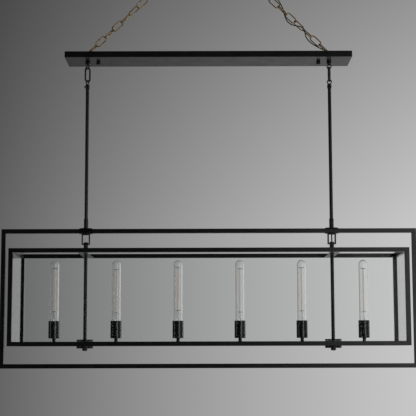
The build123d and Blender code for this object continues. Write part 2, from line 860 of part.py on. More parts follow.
# ------------------------------------------------------------------ bulbs
def bulb_body(x, shrink, low):
    """The bulb's outline, a tapered neck and a tube with a round dome."""
    neck = bulb_neck_diameter / 2 - shrink
    radius = bulb_diameter / 2 - shrink
    dome = bulb_top - bulb_diameter / 2
    corners = [(0, low), (neck, low)]
    if low < cap_top:
        corners.append((neck, cap_top))
    corners = corners + [(radius, cap_top + bulb_shoulder), (radius, dome)]
    outline = Polyline(*corners) + CenterArc((0, dome), radius, 0, 90)
    outline = outline + Line((0, dome + radius), (0, low))
    return Pos(x, 0, 0) * revolve(Plane.XZ * make_face(outline), Axis.Z)


def bulb_base(x, raise_by):
    """The screw cap, the glass mount stem, and the filament with its wires."""
    cap = disc(cap_diameter / 2, cap_bottom, cap_top, x)
    cap = cap + disc(contact_diameter / 2, cap_bottom - contact_height, cap_bottom, x)
    stem_high = cap_top + mount_stem_height
    mount_stem = disc(mount_stem_diameter / 2, cap_top, stem_high, x)
    low = cap_top + filament_bottom + raise_by
    high = low + filament_length
    half_span = cross_wire_span / 2
    wires = rod_between((x - half_span, 0, high), (x + half_span, 0, high), cross_wire / 2)
    wires = wires + rod_between((x - half_span / 2, 0, low), (x + half_span / 2, 0, low), cross_wire / 2)
    for edge in (-1, 1):
        stick_x = x + edge * filament_spacing / 2
        wires = wires + disc(filament_stick / 2, low, high, stick_x)
        foot = (x + edge * lead_spread / 2, 0, stem_high)
        wires = wires + rod_between(foot, (stick_x, 0, low), lead_wire / 2)
    return [cap, mount_stem, wires]


for i, x in enumerate(lamp_xs):
    raise_by = filament_raise[i % len(filament_raise)]
    envelope = bulb_body(x, 0, cap_top) - bulb_body(x, bulb_glass, cap_top - cut_over)
    write(f"bulb_{i + 1}_glass", envelope)
    write(f"bulb_{i + 1}_base", bulb_base(x, raise_by))

# ------------------------------------------------------------------ wiring in the fixture
wire_low = finial_bottom + finial_floor
wire_high = stem_top - hub_spigot + hub_bore_depth - cut_over
lamp_wires = [disc(lamp_wire / 2, wire_low, wire_high, stem_x)]
harness_z = cage_bottom + cage_wall + harness_wire / 2
for side in (-1, 1):
    y = side * harness_spacing / 2
    start = (-cage_inside, y, harness_z)
    lamp_wires.append(rod_between(start, (cage_inside, y, harness_z), harness_wire / 2))
for x in lamp_xs:
    lead_low = rail_top - neck_reach_down
    lamp_wires.append(disc(lead_sleeve / 2, lead_low, holder_bore_bottom - lead_drop, x))
write("lamp_wires", lamp_wires)


# ------------------------------------------------------------------ cord and its fittings
def bushing(x, y, flange_low, body_low, body_high):
    """A flanged bushing with the cord's bore."""
    flange = disc(bushing_flange / 2, flange_low, flange_low + bushing_flange_height, x, y)
    body = flange + disc(bushing_body / 2, body_low, body_high, x, y)
    low = min(flange_low, body_low)
    high = max(flange_low + bushing_flange_height, body_high)
    return body - bore(cord_diameter / 2 + cord_bore_gap, low, high, x, y)


plate_bushing = bushing(plate_bushing_x, 0, plate_bottom - bushing_flange_height, plate_bottom, 0)
strap_bushing = bushing(bushing_x, strap_bushing_back, strap_top, strap_bottom, strap_top)
write("cord_bushings", [plate_bushing, strap_bushing])

chain_eye, chain_along, chain_below = chain_frame(1)


def beside_chain(along, below, back):
    """A point by the right chain: up from its eye, to its lower side, and to the back."""
    return chain_eye + chain_along * along + chain_below * below + Vector(0, back, 0)


# the cord's corners by the chain: it leaves the strap behind the eye, hangs under the
# chain, crosses its front, hangs under it again, and goes through the sixth link to its
# upper side
cord_weave = [
    (3.2, -10.0, 19.0),
    (14.5, -8.2, 19.0),
    (25.7, 0.2, 18.5),
    (45.5, 7.4, 14.0),
    (70.0, 14.8, 7.5),
    (90.0, 17.8, -0.5),
    (107.0, 15.0, -9.0),
    (119.0, 5.5, -15.0),
    (129.5, 1.2, -17.0),
    (142.5, 1.9, -17.0),
    (158.0, 10.2, -13.0),
    (177.0, 19.5, -7.5),
    (195.0, 20.0, -5.0),
    (211.0, 14.0, -5.0),
    (225.0, 5.5, -4.5),
    (238.0, -3.5, -1.5),
    (254.0, -11.5, 3.0),
    (276.0, -19.5, 5.5),
    (306.0, -22.0, 3.5),
    (342.0, -18.5, -2.0),
    (382.0, -23.0, -4.0),
    (424.0, -18.0, 1.0),
    (464.0, -20.5, 4.0),
    (502.0, -25.5, 2.5),
    (536.0, -23.0, 0.0),
]
strap_exit = Vector(bushing_x, strap_bushing_back, strap_bottom)
plate_exit = Vector(plate_bushing_x, 0, -seat_gap)
cord_points = [strap_exit, strap_exit + Vector(0, 0, strap_exit_run)]
cord_points = cord_points + [beside_chain(*corner) for corner in cord_weave]
cord_points = cord_points + [plate_exit + Vector(plate_bend_side, 0, -plate_bend_run)]
cord_points = cord_points + [plate_exit - Vector(0, 0, plate_exit_run), plate_exit]


def cord_tube(points, diameter):
    """A round cord along straight runs joined by arcs, and its corner radii."""
    radii = []
    for before, here, after in zip(points, points[1:], points[2:]):
        half_turn = math.radians((here - before).get_angle(after - here)) / 2
        shorter = min((here - before).length, (after - here).length)
        radii.append(cord_bend_share * shorter / math.tan(half_turn))
    path = FilletPolyline(*points, radius=radii)
    section = Plane(points[0], z_dir=points[1] - points[0]) * Circle(diameter / 2)
    return sweep(section, path=path), path, radii


power_cord, cord_path, cord_radii = cord_tube(cord_points, cord_diameter)
write("power_cord", power_cord)
cord_section = math.pi * cord_diameter**2 / 4
print("cord radii", [round(radius, 1) for radius in cord_radii])
print("cord length", round(cord_path.length, 1))
print("cord volume over section times length", round(power_cord.volume / cord_section / cord_path.length, 5))

# inside the canopy the cord turns along the floor to three twist-on connectors
connector_radius = connector_diameter / 2
tail_z = canopy_floor + connector_radius
jacket_end = connector_x + connector_length + tail_strip
tail_points = [
    strap_exit,
    Vector(bushing_x, strap_bushing_back, tail_z + tail_turn),
    Vector(bushing_x - tail_turn, strap_bushing_back, tail_z),
    Vector(bushing_x - tail_run, strap_bushing_back + tail_side, tail_z),
    Vector(jacket_end, strap_bushing_back, tail_z),
]
tail, tail_path, tail_radii = cord_tube(tail_points, cord_diameter)
print("tail radii", [round(radius, 1) for radius in tail_radii], "length", round(tail_path.length, 1))
tail_parts = [tail]
wire_connectors = []
mouth_x = connector_x + connector_length
for i in (-1, 0, 1):
    y = strap_bushing_back + i * connector_spacing
    shell = Cone(connector_radius, connector_tip / 2, connector_length)
    lying = Pos(connector_x + connector_length / 2, y, tail_z) * Rot(0, -90, 0)
    wire_connectors.append(lying * shell)
    near_y = strap_bushing_back + i * conductor_spacing
    runs = [Vector(jacket_end, near_y, tail_z), Vector(mouth_x, y, tail_z)]
    if i:
        runs.insert(1, Vector(jacket_end - conductor_straight, near_y, tail_z))
        runs.insert(2, Vector(mouth_x + conductor_straight, y, tail_z))
        conductor = cord_tube(runs, conductor_diameter)[0]
    else:
        conductor = rod_between(runs[0], runs[1], conductor_diameter / 2)
    tail_parts.append(conductor)
write("cord_tail", tail_parts)
write("wire_connectors", wire_connectors)
print("overall height", round(-frame_bottom, 2), "eye centre", round(eye_centre, 2))
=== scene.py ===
import math

import bmesh
import bpy
from bpy.props import FloatProperty, FloatVectorProperty, PointerProperty
from mathutils import Matrix, Vector


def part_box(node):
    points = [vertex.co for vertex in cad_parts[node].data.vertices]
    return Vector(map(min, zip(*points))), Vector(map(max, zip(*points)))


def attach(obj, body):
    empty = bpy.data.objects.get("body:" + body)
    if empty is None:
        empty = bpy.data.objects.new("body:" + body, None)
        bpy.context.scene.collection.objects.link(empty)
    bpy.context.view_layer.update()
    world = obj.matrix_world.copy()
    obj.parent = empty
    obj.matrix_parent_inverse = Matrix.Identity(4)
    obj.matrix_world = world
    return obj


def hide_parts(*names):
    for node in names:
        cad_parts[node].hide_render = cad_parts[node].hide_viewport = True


bl_info = {
    "name": "Linear island pendant",
    "version": (1, 0, 0),
    "blender": (4, 5, 0),
    "location": "3D View > Sidebar > Pendant",
    "description": "Dresses the linear island pendant and sets its studio stage",
    "category": "Object",
}

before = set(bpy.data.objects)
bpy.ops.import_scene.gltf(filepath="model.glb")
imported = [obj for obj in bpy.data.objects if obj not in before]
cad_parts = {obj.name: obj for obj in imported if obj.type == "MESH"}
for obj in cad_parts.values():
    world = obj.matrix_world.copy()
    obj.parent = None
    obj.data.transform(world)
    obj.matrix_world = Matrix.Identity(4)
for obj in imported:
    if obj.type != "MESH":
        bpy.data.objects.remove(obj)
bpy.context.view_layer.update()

LEFT, RIGHT = -1, 1
MM = 0.001
STEM_X = 0.452  # each stem stands this far from the middle
LAMPS = 6
LINKS_PER_SIDE = 14
CHAIN_START = Vector((0.01345, 0, -0.0529))  # where the right chain leaves the top link
CORD_EXIT = (0.462, 0.019)  # where the cord passes the mounting strap
STRAP = 0.003  # thickness of the mounting strap
CONNECTOR_PITCH = 0.0115  # from one twist-on connector to the next
NUT_FLATS = 0.0155  # width of the lock nuts across their flats


# ---------------------------------------------------------------- sizes and colours
def length(name, value, description):
    return FloatProperty(
        name=name, description=description, default=value, unit="LENGTH", subtype="DISTANCE"
    )


def angle(name, degrees, description):
    return FloatProperty(
        name=name,
        description=description,
        default=math.radians(degrees),
        unit="ROTATION",
        subtype="ANGLE",
    )


def colour(name, value, description):
    return FloatVectorProperty(
        name=name, description=description, default=value, subtype="COLOR", size=3, min=0, max=1
    )


class PendantSizes(bpy.types.PropertyGroup):
    """Sizes of the pieces, which agree with the pendant's own construction."""

    bar_edge: length("Bar edge", 0.0006, "Rounding of the square tubes' edges")
    cage_bar: length("Cage bar", 0.0155, "Width of the cage's square tubes")
    plate_edge: length("Plate edge", 0.0005, "Rounding of thin plates and washers")
    glass_edge: length("Glass edge", 0.0004, "Polished chamfer round each pane")
    canopy_edge: length("Canopy edge", 0.0016, "Outer bend radius of the canopy's sheet")
    canopy_sheet: length("Canopy sheet", 0.0015, "Thickness of the canopy's sheet")
    chain_wire: length("Chain wire", 0.0044, "Diameter of the chain's wire")
    link_width: length("Link opening", 0.0152, "Inner width of a chain link")
    link_pitch: length("Link pitch", 0.0425, "Distance from one chain link to the next")
    link_slack: length("Link slack", 0.00015, "Play at each meeting of two links")
    eye_hole: length("Eye hole", 0.0096, "Hole of the canopy's two eyes")
    ring_wire: length("Ring wire", 0.0042, "Wire of the swivel rings")
    ring_hole: length("Ring hole", 0.0116, "Hole of the swivel rings")
    swivel_bar: length("Swivel bar", 0.0048, "Width of the oval links' bar")
    swivel_width: length("Swivel width", 0.026, "Outer width of the oval links")
    swivel_depth: length("Swivel depth", 0.006, "Thickness of the oval links")
    swivel_length: length("Swivel length", 0.0591, "Outer length of the oval links")
    nipple: length("Nipple", 0.0097, "Diameter of the threaded nipples")
    stem: length("Stem", 0.0128, "Diameter of the stems and of the rods")
    cord: length("Cord", 0.0042, "Diameter of the power cord")
    cord_length: length("Cord length", 0.69, "Free length of the power cord")
    lamp_wire: length("Lamp wire", 0.0048, "Diameter of the wire in the right stem")
    cap: length("Bulb cap", 0.026, "Diameter of the bulbs' screw caps")
    bulb: length("Bulb", 0.032, "Diameter of the bulbs' glass tubes")
    bulb_wall: length("Bulb wall", 0.001, "Thickness of the bulbs' glass")
    filament: length("Filament stick", 0.0017, "Width of a filament stick")
    turn_left: angle("Left turn", 45, "How far the left oval link is turned from the length")
    turn_right: angle("Right turn", 70, "How far the right oval link is turned from the length")


class PendantColours(bpy.types.PropertyGroup):
    """Colours of the finishes."""

    powder: colour("Powder coat", (0.0022, 0.0022, 0.0024), "Black powder coat")
    gloss: colour("Gloss black", (0.0045, 0.0045, 0.0048), "Paint of the socket covers")
    brass: colour("Brass", (0.66, 0.46, 0.22), "Rubbed brass on the links' high spots")
    patina: colour("Patina", (0.060, 0.030, 0.012), "Dark patina in the brass")
    porcelain: colour("Porcelain", (0.76, 0.73, 0.67), "Glaze of the lamp holders")
    sheath: colour("Sheath", (0.004, 0.004, 0.0045), "Sheath of the cord and wires")
    nickel: colour("Nickel", (0.62, 0.60, 0.56), "Screw caps of the bulbs")
    phosphor: colour("Phosphor", (0.60, 0.38, 0.23), "Coating of the unlit filament sticks")
    connector: colour("Connector", (0.62, 0.20, 0.03), "Twist-on connectors")
    ground: colour("Ground screw", (0.05, 0.30, 0.10), "Green ground screw")
    floor: colour("Floor", (0.62, 0.625, 0.64), "Plain pale floor")


class PendantStage(bpy.types.PropertyGroup):
    """The camera and the floor."""

    lens: FloatProperty(
        name="Lens", description="Focal length in millimetres", default=99.64,
        subtype="DISTANCE_CAMERA",
    )
    distance: length("Camera distance", 4.2176, "From the fixture's middle plane to the camera")
    height: length("Camera height", -1.5730, "Camera height from the ceiling")
    aside: length("Camera aside", -0.0013, "How far the camera stands from the middle")
    pitch: angle("Pitch", 6.97, "How far the camera looks up")
    yaw: angle("Yaw", 0.02, "How far the camera looks to the left")
    roll: angle("Roll", -0.14, "How far the camera is rolled")
    floor_height: length("Floor height", -3.2, "Height of the floor from the ceiling")
    floor_size: length("Floor size", 12.0, "Side of the square floor")


# ---------------------------------------------------------------- shaping by hand
def sizes():
    return bpy.context.scene.pendant_sizes


def colours():
    return bpy.context.scene.pendant_colours


def deselect():
    if bpy.context.mode != "OBJECT":
        bpy.ops.object.mode_set(mode="OBJECT")
    bpy.ops.object.select_all(action="DESELECT")


def pick(*objects):
    deselect()
    for obj in objects:
        obj.select_set(True)
    bpy.context.view_layer.objects.active = objects[0]


def edit(obj):
    pick(obj)
    bpy.ops.object.mode_set(mode="EDIT")


def done():
    bpy.ops.object.mode_set(mode="OBJECT")


def place_applied():
    bpy.ops.object.transform_apply(location=True, rotation=True, scale=True)


def choose(obj, kind, test):
    """In edit mode, selects only the vertices, edges or faces that pass a test."""
    modes = {"verts": "VERT", "edges": "EDGE", "faces": "FACE"}
    bpy.ops.mesh.select_mode(type=modes[kind])
    bpy.ops.mesh.select_all(action="DESELECT")
    mesh = bmesh.from_edit_mesh(obj.data)
    for part in getattr(mesh, kind):
        part.select = bool(test(part))
    mesh.select_flush_mode()
    bmesh.update_edit_mesh(obj.data)


def middle_of(edge):
    return (edge.verts[0].co + edge.verts[1].co) / 2


def soft_box(name, low, high, edge, segments=3):
    """A bar or plate between two corners, with all its edges rounded."""
    low, high = Vector(low), Vector(high)
    deselect()
    bpy.ops.mesh.primitive_cube_add(size=1, location=(low + high) / 2, scale=high - low)
    obj = bpy.context.object
    obj.name = name
    place_applied()
    edit(obj)
    bpy.ops.mesh.select_all(action="SELECT")
    bpy.ops.mesh.bevel(offset=edge, segments=segments, affect="EDGES")
    done()
    return obj


def turned(name, profile, x=0.0, y=0.0, segments=48, fill=True):
    """A turned piece: a ring is pulled up and resized along its outline of (radius, height).
    An outline that returns to its start makes a piece with a bore."""
    radius, height = profile[0]
    deselect()
    bpy.ops.mesh.primitive_circle_add(vertices=segments, radius=radius, location=(x, y, height))
    obj = bpy.context.object
    obj.name = name
    place_applied()
    edit(obj)
    bpy.ops.mesh.select_mode(type="VERT")
    bpy.ops.mesh.select_all(action="SELECT")
    for (_, before), (wide, high) in zip(profile, profile[1:]):
        bpy.ops.mesh.extrude_region_move(
            TRANSFORM_OT_translate={"value": (0, 0, high - before)}
        )
        if wide == 0:
            bpy.ops.mesh.merge(type="CENTER")
            break
        factor = wide / radius
        bpy.ops.transform.resize(value=(factor, factor, 1), center_override=(x, y, high))
        radius = wide
    bpy.ops.mesh.select_all(action="SELECT")
    bpy.ops.mesh.remove_doubles(threshold=0.000002)
    if fill:
        bpy.ops.mesh.select_all(action="DESELECT")
        bpy.ops.mesh.select_non_manifold()
        bpy.ops.mesh.fill_holes(sides=0)
    bpy.ops.mesh.select_all(action="SELECT")
    bpy.ops.mesh.normals_make_consistent(inside=False)
    done()
    return obj


def bored(outer, bore, low, high, edge):
    """The closed outline of a round piece with a straight bore and softened rims."""
    soft = edge * 0.3
    return [
        (bore, low), (outer - edge, low), (outer - soft, low + soft), (outer, low + edge),
        (outer, high - edge), (outer - soft, high - soft), (outer - edge, high), (bore, high),
        (bore, low),
    ]


def fluted(obj, low, high, step, depth, x=0.0):
    """Draws every other column of a turned rim in, between two heights."""
    edit(obj)
    choose(obj, "verts", lambda v: low < v.co.z < high
           and round(math.degrees(math.atan2(v.co.y, v.co.x - x)) / step) % 2)
    bpy.ops.transform.resize(value=(depth, depth, 1), center_override=(x, 0, 0))
    done()


def ring(name, wire, major, centre, axis, segments=48):
    """A wire ring round an axis."""
    turn = Vector((0, 0, 1)).rotation_difference(Vector(axis)).to_euler()
    deselect()
    bpy.ops.mesh.primitive_torus_add(
        major_radius=major,
        minor_radius=wire / 2,
        major_segments=segments,
        minor_segments=16,
        location=centre,
        rotation=turn,
    )
    obj = bpy.context.object
    obj.name = name
    place_applied()
    return obj


def modified(obj, name, kind, **settings):
    """Adds a modifier with its settings and applies it."""
    pick(obj)
    modifier = obj.modifiers.new(name, kind)
    for key, value in settings.items():
        setattr(modifier, key, value)
    bpy.ops.object.modifier_apply(modifier=modifier.name)
    return obj


def moved(obj, matrix):
    """Puts a piece that was made at the origin in its place, and applies it."""
    pick(obj)
    obj.matrix_world = matrix
    place_applied()
    return obj


def copied(obj, name, matrix):
    pick(obj)
    bpy.ops.object.duplicate()
    copy = bpy.context.object
    copy.name = name
    return moved(copy, matrix)


def joined(name, pieces):
    pick(*pieces)
    if len(pieces) > 1:
        bpy.ops.object.join()
    obj = bpy.context.object
    obj.name = name
    return obj


def wire(name, points, diameter):
    """A smooth wire, with the points of its route as the controls of its line."""
    curve = bpy.data.curves.new(name, "CURVE")
    curve.dimensions = "3D"
    curve.bevel_depth = diameter / 2
    curve.bevel_resolution = 4
    curve.resolution_u = 10
    curve.use_fill_caps = True
    spline = curve.splines.new("NURBS")
    spline.points.add(len(points) - 1)
    for point, place in zip(spline.points, points):
        point.co = (*place, 1)
    spline.order_u = 3
    spline.use_endpoint_u = True
    obj = bpy.data.objects.new(name, curve)
    bpy.context.collection.objects.link(obj)
    return obj


def finished(obj, body, slot, finish=None, *nodes, smooth=35):
    """Smooths, paints and carries a piece, which stands for the CAD nodes named."""
    if obj.type == "MESH":
        pick(obj)
        bpy.ops.object.shade_smooth_by_angle(angle=math.radians(smooth))
        modified(obj, "Weights", "WEIGHTED_NORMAL", keep_sharp=True, weight=80)
    if finish is not None:
        obj.data.materials.clear()
        obj.data.materials.append(finish)
    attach(obj, body)
    if nodes:
        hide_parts(*nodes)
    return obj


def as_mesh(name, wires):
    """Joins wires to one mesh."""
    for piece in wires:
        pick(piece)
        bpy.ops.object.convert(target="MESH")
    return joined(name, wires)


def in_black(obj, body, *nodes):
    """Finishes a piece in the black powder coat of the frame."""
    return finished(obj, body, "frame_black", powder_coat(), *nodes)


def painted(obj, finish):
    obj.data.materials.clear()
    obj.data.materials.append(finish)
    return obj


def repaint(node, finish):
    """Gives a CAD node a better finish."""
    painted(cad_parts[node], finish)


def upright(x, z, turn):
    """The place of a piece that stands in an upright plane, turned from the length."""
    c, s = math.cos(turn), math.sin(turn)
    return Matrix(((c, 0, s, x), (s, 0, -c, 0), (0, 1, 0, z), (0, 0, 0, 1)))


# ---------------------------------------------------------------- finishes
def node(tree, kind, x, y, **settings):
    new = tree.nodes.new(kind)
    new.location = (x, y)
    for key, value in settings.items():
        setattr(new, key, value)
    return new


def give(made, values):
    """Sets inputs of a node that nothing is linked to."""
    for key, value in values.items():
        made.inputs[key].default_value = value


def variation_group():
    """Surface Variation: mottled colour and roughness, fine relief, and dust on top."""
    found = bpy.data.node_groups.get("Surface Variation")
    if found:
        return found
    tree = bpy.data.node_groups.new("Surface Variation", "ShaderNodeTree")
    face = tree.interface

    def socket(name, way, kind, value=None):
        made = face.new_socket(name=name, in_out=way, socket_type=kind)
        if value is not None:
            made.default_value = value

    socket("Vector", "INPUT", "NodeSocketVector")
    socket("Colour A", "INPUT", "NodeSocketColor", (0.5, 0.5, 0.5, 1))
    socket("Colour B", "INPUT", "NodeSocketColor", (0.4, 0.4, 0.4, 1))
    for name, value in (("Mottle Scale", 30.0), ("Contrast", 0.5), ("Roughness A", 0.3),
                        ("Roughness B", 0.45), ("Grain Scale", 900.0), ("Dust", 0.0)):
        socket(name, "INPUT", "NodeSocketFloat", value)
    socket("Color", "OUTPUT", "NodeSocketColor")
    socket("Roughness", "OUTPUT", "NodeSocketFloat")
    socket("Height", "OUTPUT", "NodeSocketFloat")
    given = node(tree, "NodeGroupInput", -1100, 0)
    out = node(tree, "NodeGroupOutput", 700, 0)
    link = tree.links.new

    broad = node(tree, "ShaderNodeTexNoise", -800, 200)
    give(broad, {"Detail": 5.0, "Roughness": 0.6})
    link(given.outputs["Vector"], broad.inputs["Vector"])
    link(given.outputs["Mottle Scale"], broad.inputs["Scale"])
    half = node(tree, "ShaderNodeMath", -800, -20, operation="MULTIPLY")
    half.inputs[1].default_value = 0.5
    link(given.outputs["Contrast"], half.inputs[0])
    low = node(tree, "ShaderNodeMath", -620, -20, operation="SUBTRACT")
    low.inputs[0].default_value = 0.5
    high = node(tree, "ShaderNodeMath", -620, -180, operation="ADD")
    high.inputs[0].default_value = 0.5
    span = node(tree, "ShaderNodeMath", -800, -180, operation="SUBTRACT")
    span.inputs[0].default_value = 0.55
    link(half.outputs[0], span.inputs[1])
    link(span.outputs[0], low.inputs[1])
    link(span.outputs[0], high.inputs[1])
    mask = node(tree, "ShaderNodeMapRange", -420, 160, interpolation_type="SMOOTHSTEP")
    link(broad.outputs["Fac"], mask.inputs["Value"])
    link(low.outputs[0], mask.inputs["From Min"])
    link(high.outputs[0], mask.inputs["From Max"])
    tint = node(tree, "ShaderNodeMix", -180, 260, data_type="RGBA")
    link(mask.outputs["Result"], tint.inputs["Factor"])
    link(given.outputs["Colour A"], tint.inputs["A"])
    link(given.outputs["Colour B"], tint.inputs["B"])
    rough = node(tree, "ShaderNodeMapRange", -180, 0)
    link(mask.outputs["Result"], rough.inputs["Value"])
    link(given.outputs["Roughness A"], rough.inputs["To Min"])
    link(given.outputs["Roughness B"], rough.inputs["To Max"])

    normal = node(tree, "ShaderNodeNewGeometry", -800, -400)
    parts = node(tree, "ShaderNodeSeparateXYZ", -620, -400)
    link(normal.outputs["Normal"], parts.inputs[0])
    upward = node(tree, "ShaderNodeMapRange", -420, -400, interpolation_type="SMOOTHSTEP")
    give(upward, {"From Min": 0.55, "From Max": 1.0})
    link(parts.outputs["Z"], upward.inputs["Value"])
    specks = node(tree, "ShaderNodeTexNoise", -620, -600)
    give(specks, {"Scale": 260.0, "Detail": 6.0})
    link(given.outputs["Vector"], specks.inputs["Vector"])
    settled = node(tree, "ShaderNodeMath", -180, -400, operation="MULTIPLY")
    link(upward.outputs["Result"], settled.inputs[0])
    link(specks.outputs["Fac"], settled.inputs[1])
    amount = node(tree, "ShaderNodeMath", 20, -400, operation="MULTIPLY")
    link(settled.outputs[0], amount.inputs[0])
    link(given.outputs["Dust"], amount.inputs[1])
    dusty = node(tree, "ShaderNodeMix", 240, 200, data_type="RGBA")
    dusty.inputs["B"].default_value = (0.33, 0.32, 0.30, 1)
    link(amount.outputs[0], dusty.inputs["Factor"])
    link(tint.outputs["Result"], dusty.inputs["A"])
    matte = node(tree, "ShaderNodeMath", 240, -60, operation="ADD")
    link(rough.outputs["Result"], matte.inputs[0])
    link(amount.outputs[0], matte.inputs[1])

    fine = node(tree, "ShaderNodeTexNoise", -180, -700)
    fine.inputs["Detail"].default_value = 3.0
    link(given.outputs["Vector"], fine.inputs["Vector"])
    link(given.outputs["Grain Scale"], fine.inputs["Scale"])
    link(dusty.outputs["Result"], out.inputs["Color"])
    link(matte.outputs[0], out.inputs["Roughness"])
    link(fine.outputs["Fac"], out.inputs["Height"])
    return tree


def finish_of(name, first, second, rough, mottle=30.0, contrast=0.5, grain=900.0, relief=0.1,
              depth=0.0001, dust=0.0, **plain):
    """A finish whose colour, roughness and relief vary over the surface."""
    found = bpy.data.materials.get(name)
    if found:
        return found
    made = bpy.data.materials.new(name)
    made.use_nodes = True
    tree = made.node_tree
    shader = tree.nodes["Principled BSDF"]
    place = node(tree, "ShaderNodeTexCoord", -900, 0)
    group = node(tree, "ShaderNodeGroup", -600, 0, node_tree=variation_group())
    give(group, {
        "Colour A": (*first, 1), "Colour B": (*second, 1), "Roughness A": rough[0],
        "Roughness B": rough[1], "Mottle Scale": mottle, "Contrast": contrast,
        "Grain Scale": grain, "Dust": dust,
    })
    bump = node(tree, "ShaderNodeBump", -260, -240)
    give(bump, {"Strength": relief, "Distance": depth})
    tree.links.new(place.outputs["Object"], group.inputs["Vector"])
    tree.links.new(group.outputs["Color"], shader.inputs["Base Color"])
    tree.links.new(group.outputs["Roughness"], shader.inputs["Roughness"])
    tree.links.new(group.outputs["Height"], bump.inputs["Height"])
    tree.links.new(bump.outputs["Normal"], shader.inputs["Normal"])
    for key, value in plain.items():
        shader.inputs[key.replace("_", " ")].default_value = value
    return made


def tone(value, factor):
    return tuple(channel * factor for channel in value)


def powder_coat():
    base = colours().powder
    return finish_of("Black Powder Coat", base, tone(base, 1.5), (0.27, 0.36), mottle=18,
                     grain=1400, relief=0.01, dust=0.008, Specular_IOR_Level=0.30)


def gloss_black():
    base = colours().gloss
    return finish_of("Gloss Black Paint", base, tone(base, 1.4), (0.10, 0.17), mottle=40,
                     grain=700, relief=0.01, dust=0.012, Specular_IOR_Level=0.42)


def antique_brass():
    return finish_of("Antique Brass", colours().brass, colours().patina, (0.22, 0.42), mottle=60,
                     contrast=0.6, grain=1500, relief=0.15, Metallic=1.0)


def porcelain():
    base = colours().porcelain
    return finish_of("Porcelain", base, tone(base, 0.9), (0.12, 0.3), mottle=60, relief=0.04)


def sheath():
    base = colours().sheath
    return finish_of("Cord Sheath", base, tone(base, 1.8), (0.55, 0.7), mottle=120, grain=2200,
                     relief=0.3, dust=0.05)


def nickel():
    base = colours().nickel
    return finish_of("Nickel", base, tone(base, 0.75), (0.18, 0.32), mottle=160, grain=1800,
                     relief=0.1, Metallic=1.0)


def steel_wire():
    return finish_of("Steel Wire", (0.11, 0.105, 0.10), (0.06, 0.057, 0.055), (0.3, 0.45),
                     mottle=300,
                     Metallic=1.0)


def phosphor():
    base = colours().phosphor
    return finish_of("Filament Phosphor", base, tone(base, 0.72), (0.5, 0.65), mottle=420,
                     contrast=0.7, grain=2500, relief=0.3)


def black_vitrite():
    return finish_of("Black Insulator", (0.02, 0.018, 0.018), (0.03, 0.026, 0.024), (0.2, 0.3))


def zinc_steel():
    return finish_of("Zinc Plated Steel", (0.42, 0.43, 0.44), (0.34, 0.345, 0.345), (0.34, 0.46),
                     mottle=55, contrast=0.5, grain=1200, relief=0.10, Metallic=1.0)


def moulded(name, base, rough):
    return finish_of(name, base, tone(base, 0.8), rough, mottle=80, grain=1500, relief=0.12)


def clear_glass(name, tint, rough, bend=1.46, flat=False):
    """Clear glass, which lets light through to what stands behind it. What is mirrored in
    the pieces behind a flat pane isn't dimmed by it."""
    found = bpy.data.materials.get(name)
    if found:
        return found
    made = bpy.data.materials.new(name)
    made.use_nodes = True
    tree = made.node_tree
    shader = tree.nodes["Principled BSDF"]
    give(shader, {"Base Color": (*tint, 1), "Transmission Weight": 1.0, "IOR": bend})
    place = node(tree, "ShaderNodeTexCoord", -900, 0)
    group = node(tree, "ShaderNodeGroup", -600, 0, node_tree=variation_group())
    give(group, {"Roughness A": 0.0, "Roughness B": rough, "Mottle Scale": 9.0})
    tree.links.new(place.outputs["Object"], group.inputs["Vector"])
    tree.links.new(group.outputs["Roughness"], shader.inputs["Roughness"])
    rays = node(tree, "ShaderNodeLightPath", -200, 400)
    either = node(tree, "ShaderNodeMath", 60, 400, operation="ADD", use_clamp=True)
    tree.links.new(rays.outputs["Is Shadow Ray"], either.inputs[0])
    clear = node(tree, "ShaderNodeBsdfTransparent", 0, -500)
    clear.inputs["Color"].default_value = (0.95, 0.965, 0.96, 1)
    if flat:
        mirrored = node(tree, "ShaderNodeMath", -60, 600, operation="SUBTRACT", use_clamp=True)
        tree.links.new(rays.outputs["Is Glossy Ray"], mirrored.inputs[0])
        tree.links.new(rays.outputs["Is Transmission Ray"], mirrored.inputs[1])
        tree.links.new(mirrored.outputs[0], either.inputs[1])
        clear.inputs["Color"].default_value = (0.985, 0.99, 0.988, 1)
    else:
        either.inputs[1].default_value = 0.0
    mix = node(tree, "ShaderNodeMixShader", 320, 100)
    out = tree.nodes["Material Output"]
    out.location = (560, 100)
    tree.links.new(either.outputs[0], mix.inputs["Fac"])
    tree.links.new(shader.outputs["BSDF"], mix.inputs[1])
    tree.links.new(clear.outputs["BSDF"], mix.inputs[2])
    tree.links.new(mix.outputs["Shader"], out.inputs["Surface"])
    return made


# ---------------------------------------------------------------- the pieces
class PieceOperator(bpy.types.Operator):
    """Makes one group of pieces."""

    bl_options = {"REGISTER", "UNDO"}

    def execute(self, context):
        self.make(sizes())
        return {"FINISHED"}


def eye_centre(size, side):
    """The middle of a canopy eye's hole."""
    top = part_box("chain_eyes")[1].z
    return Vector((side * STEM_X, 0, top - size.eye_hole / 2 - size.chain_wire))


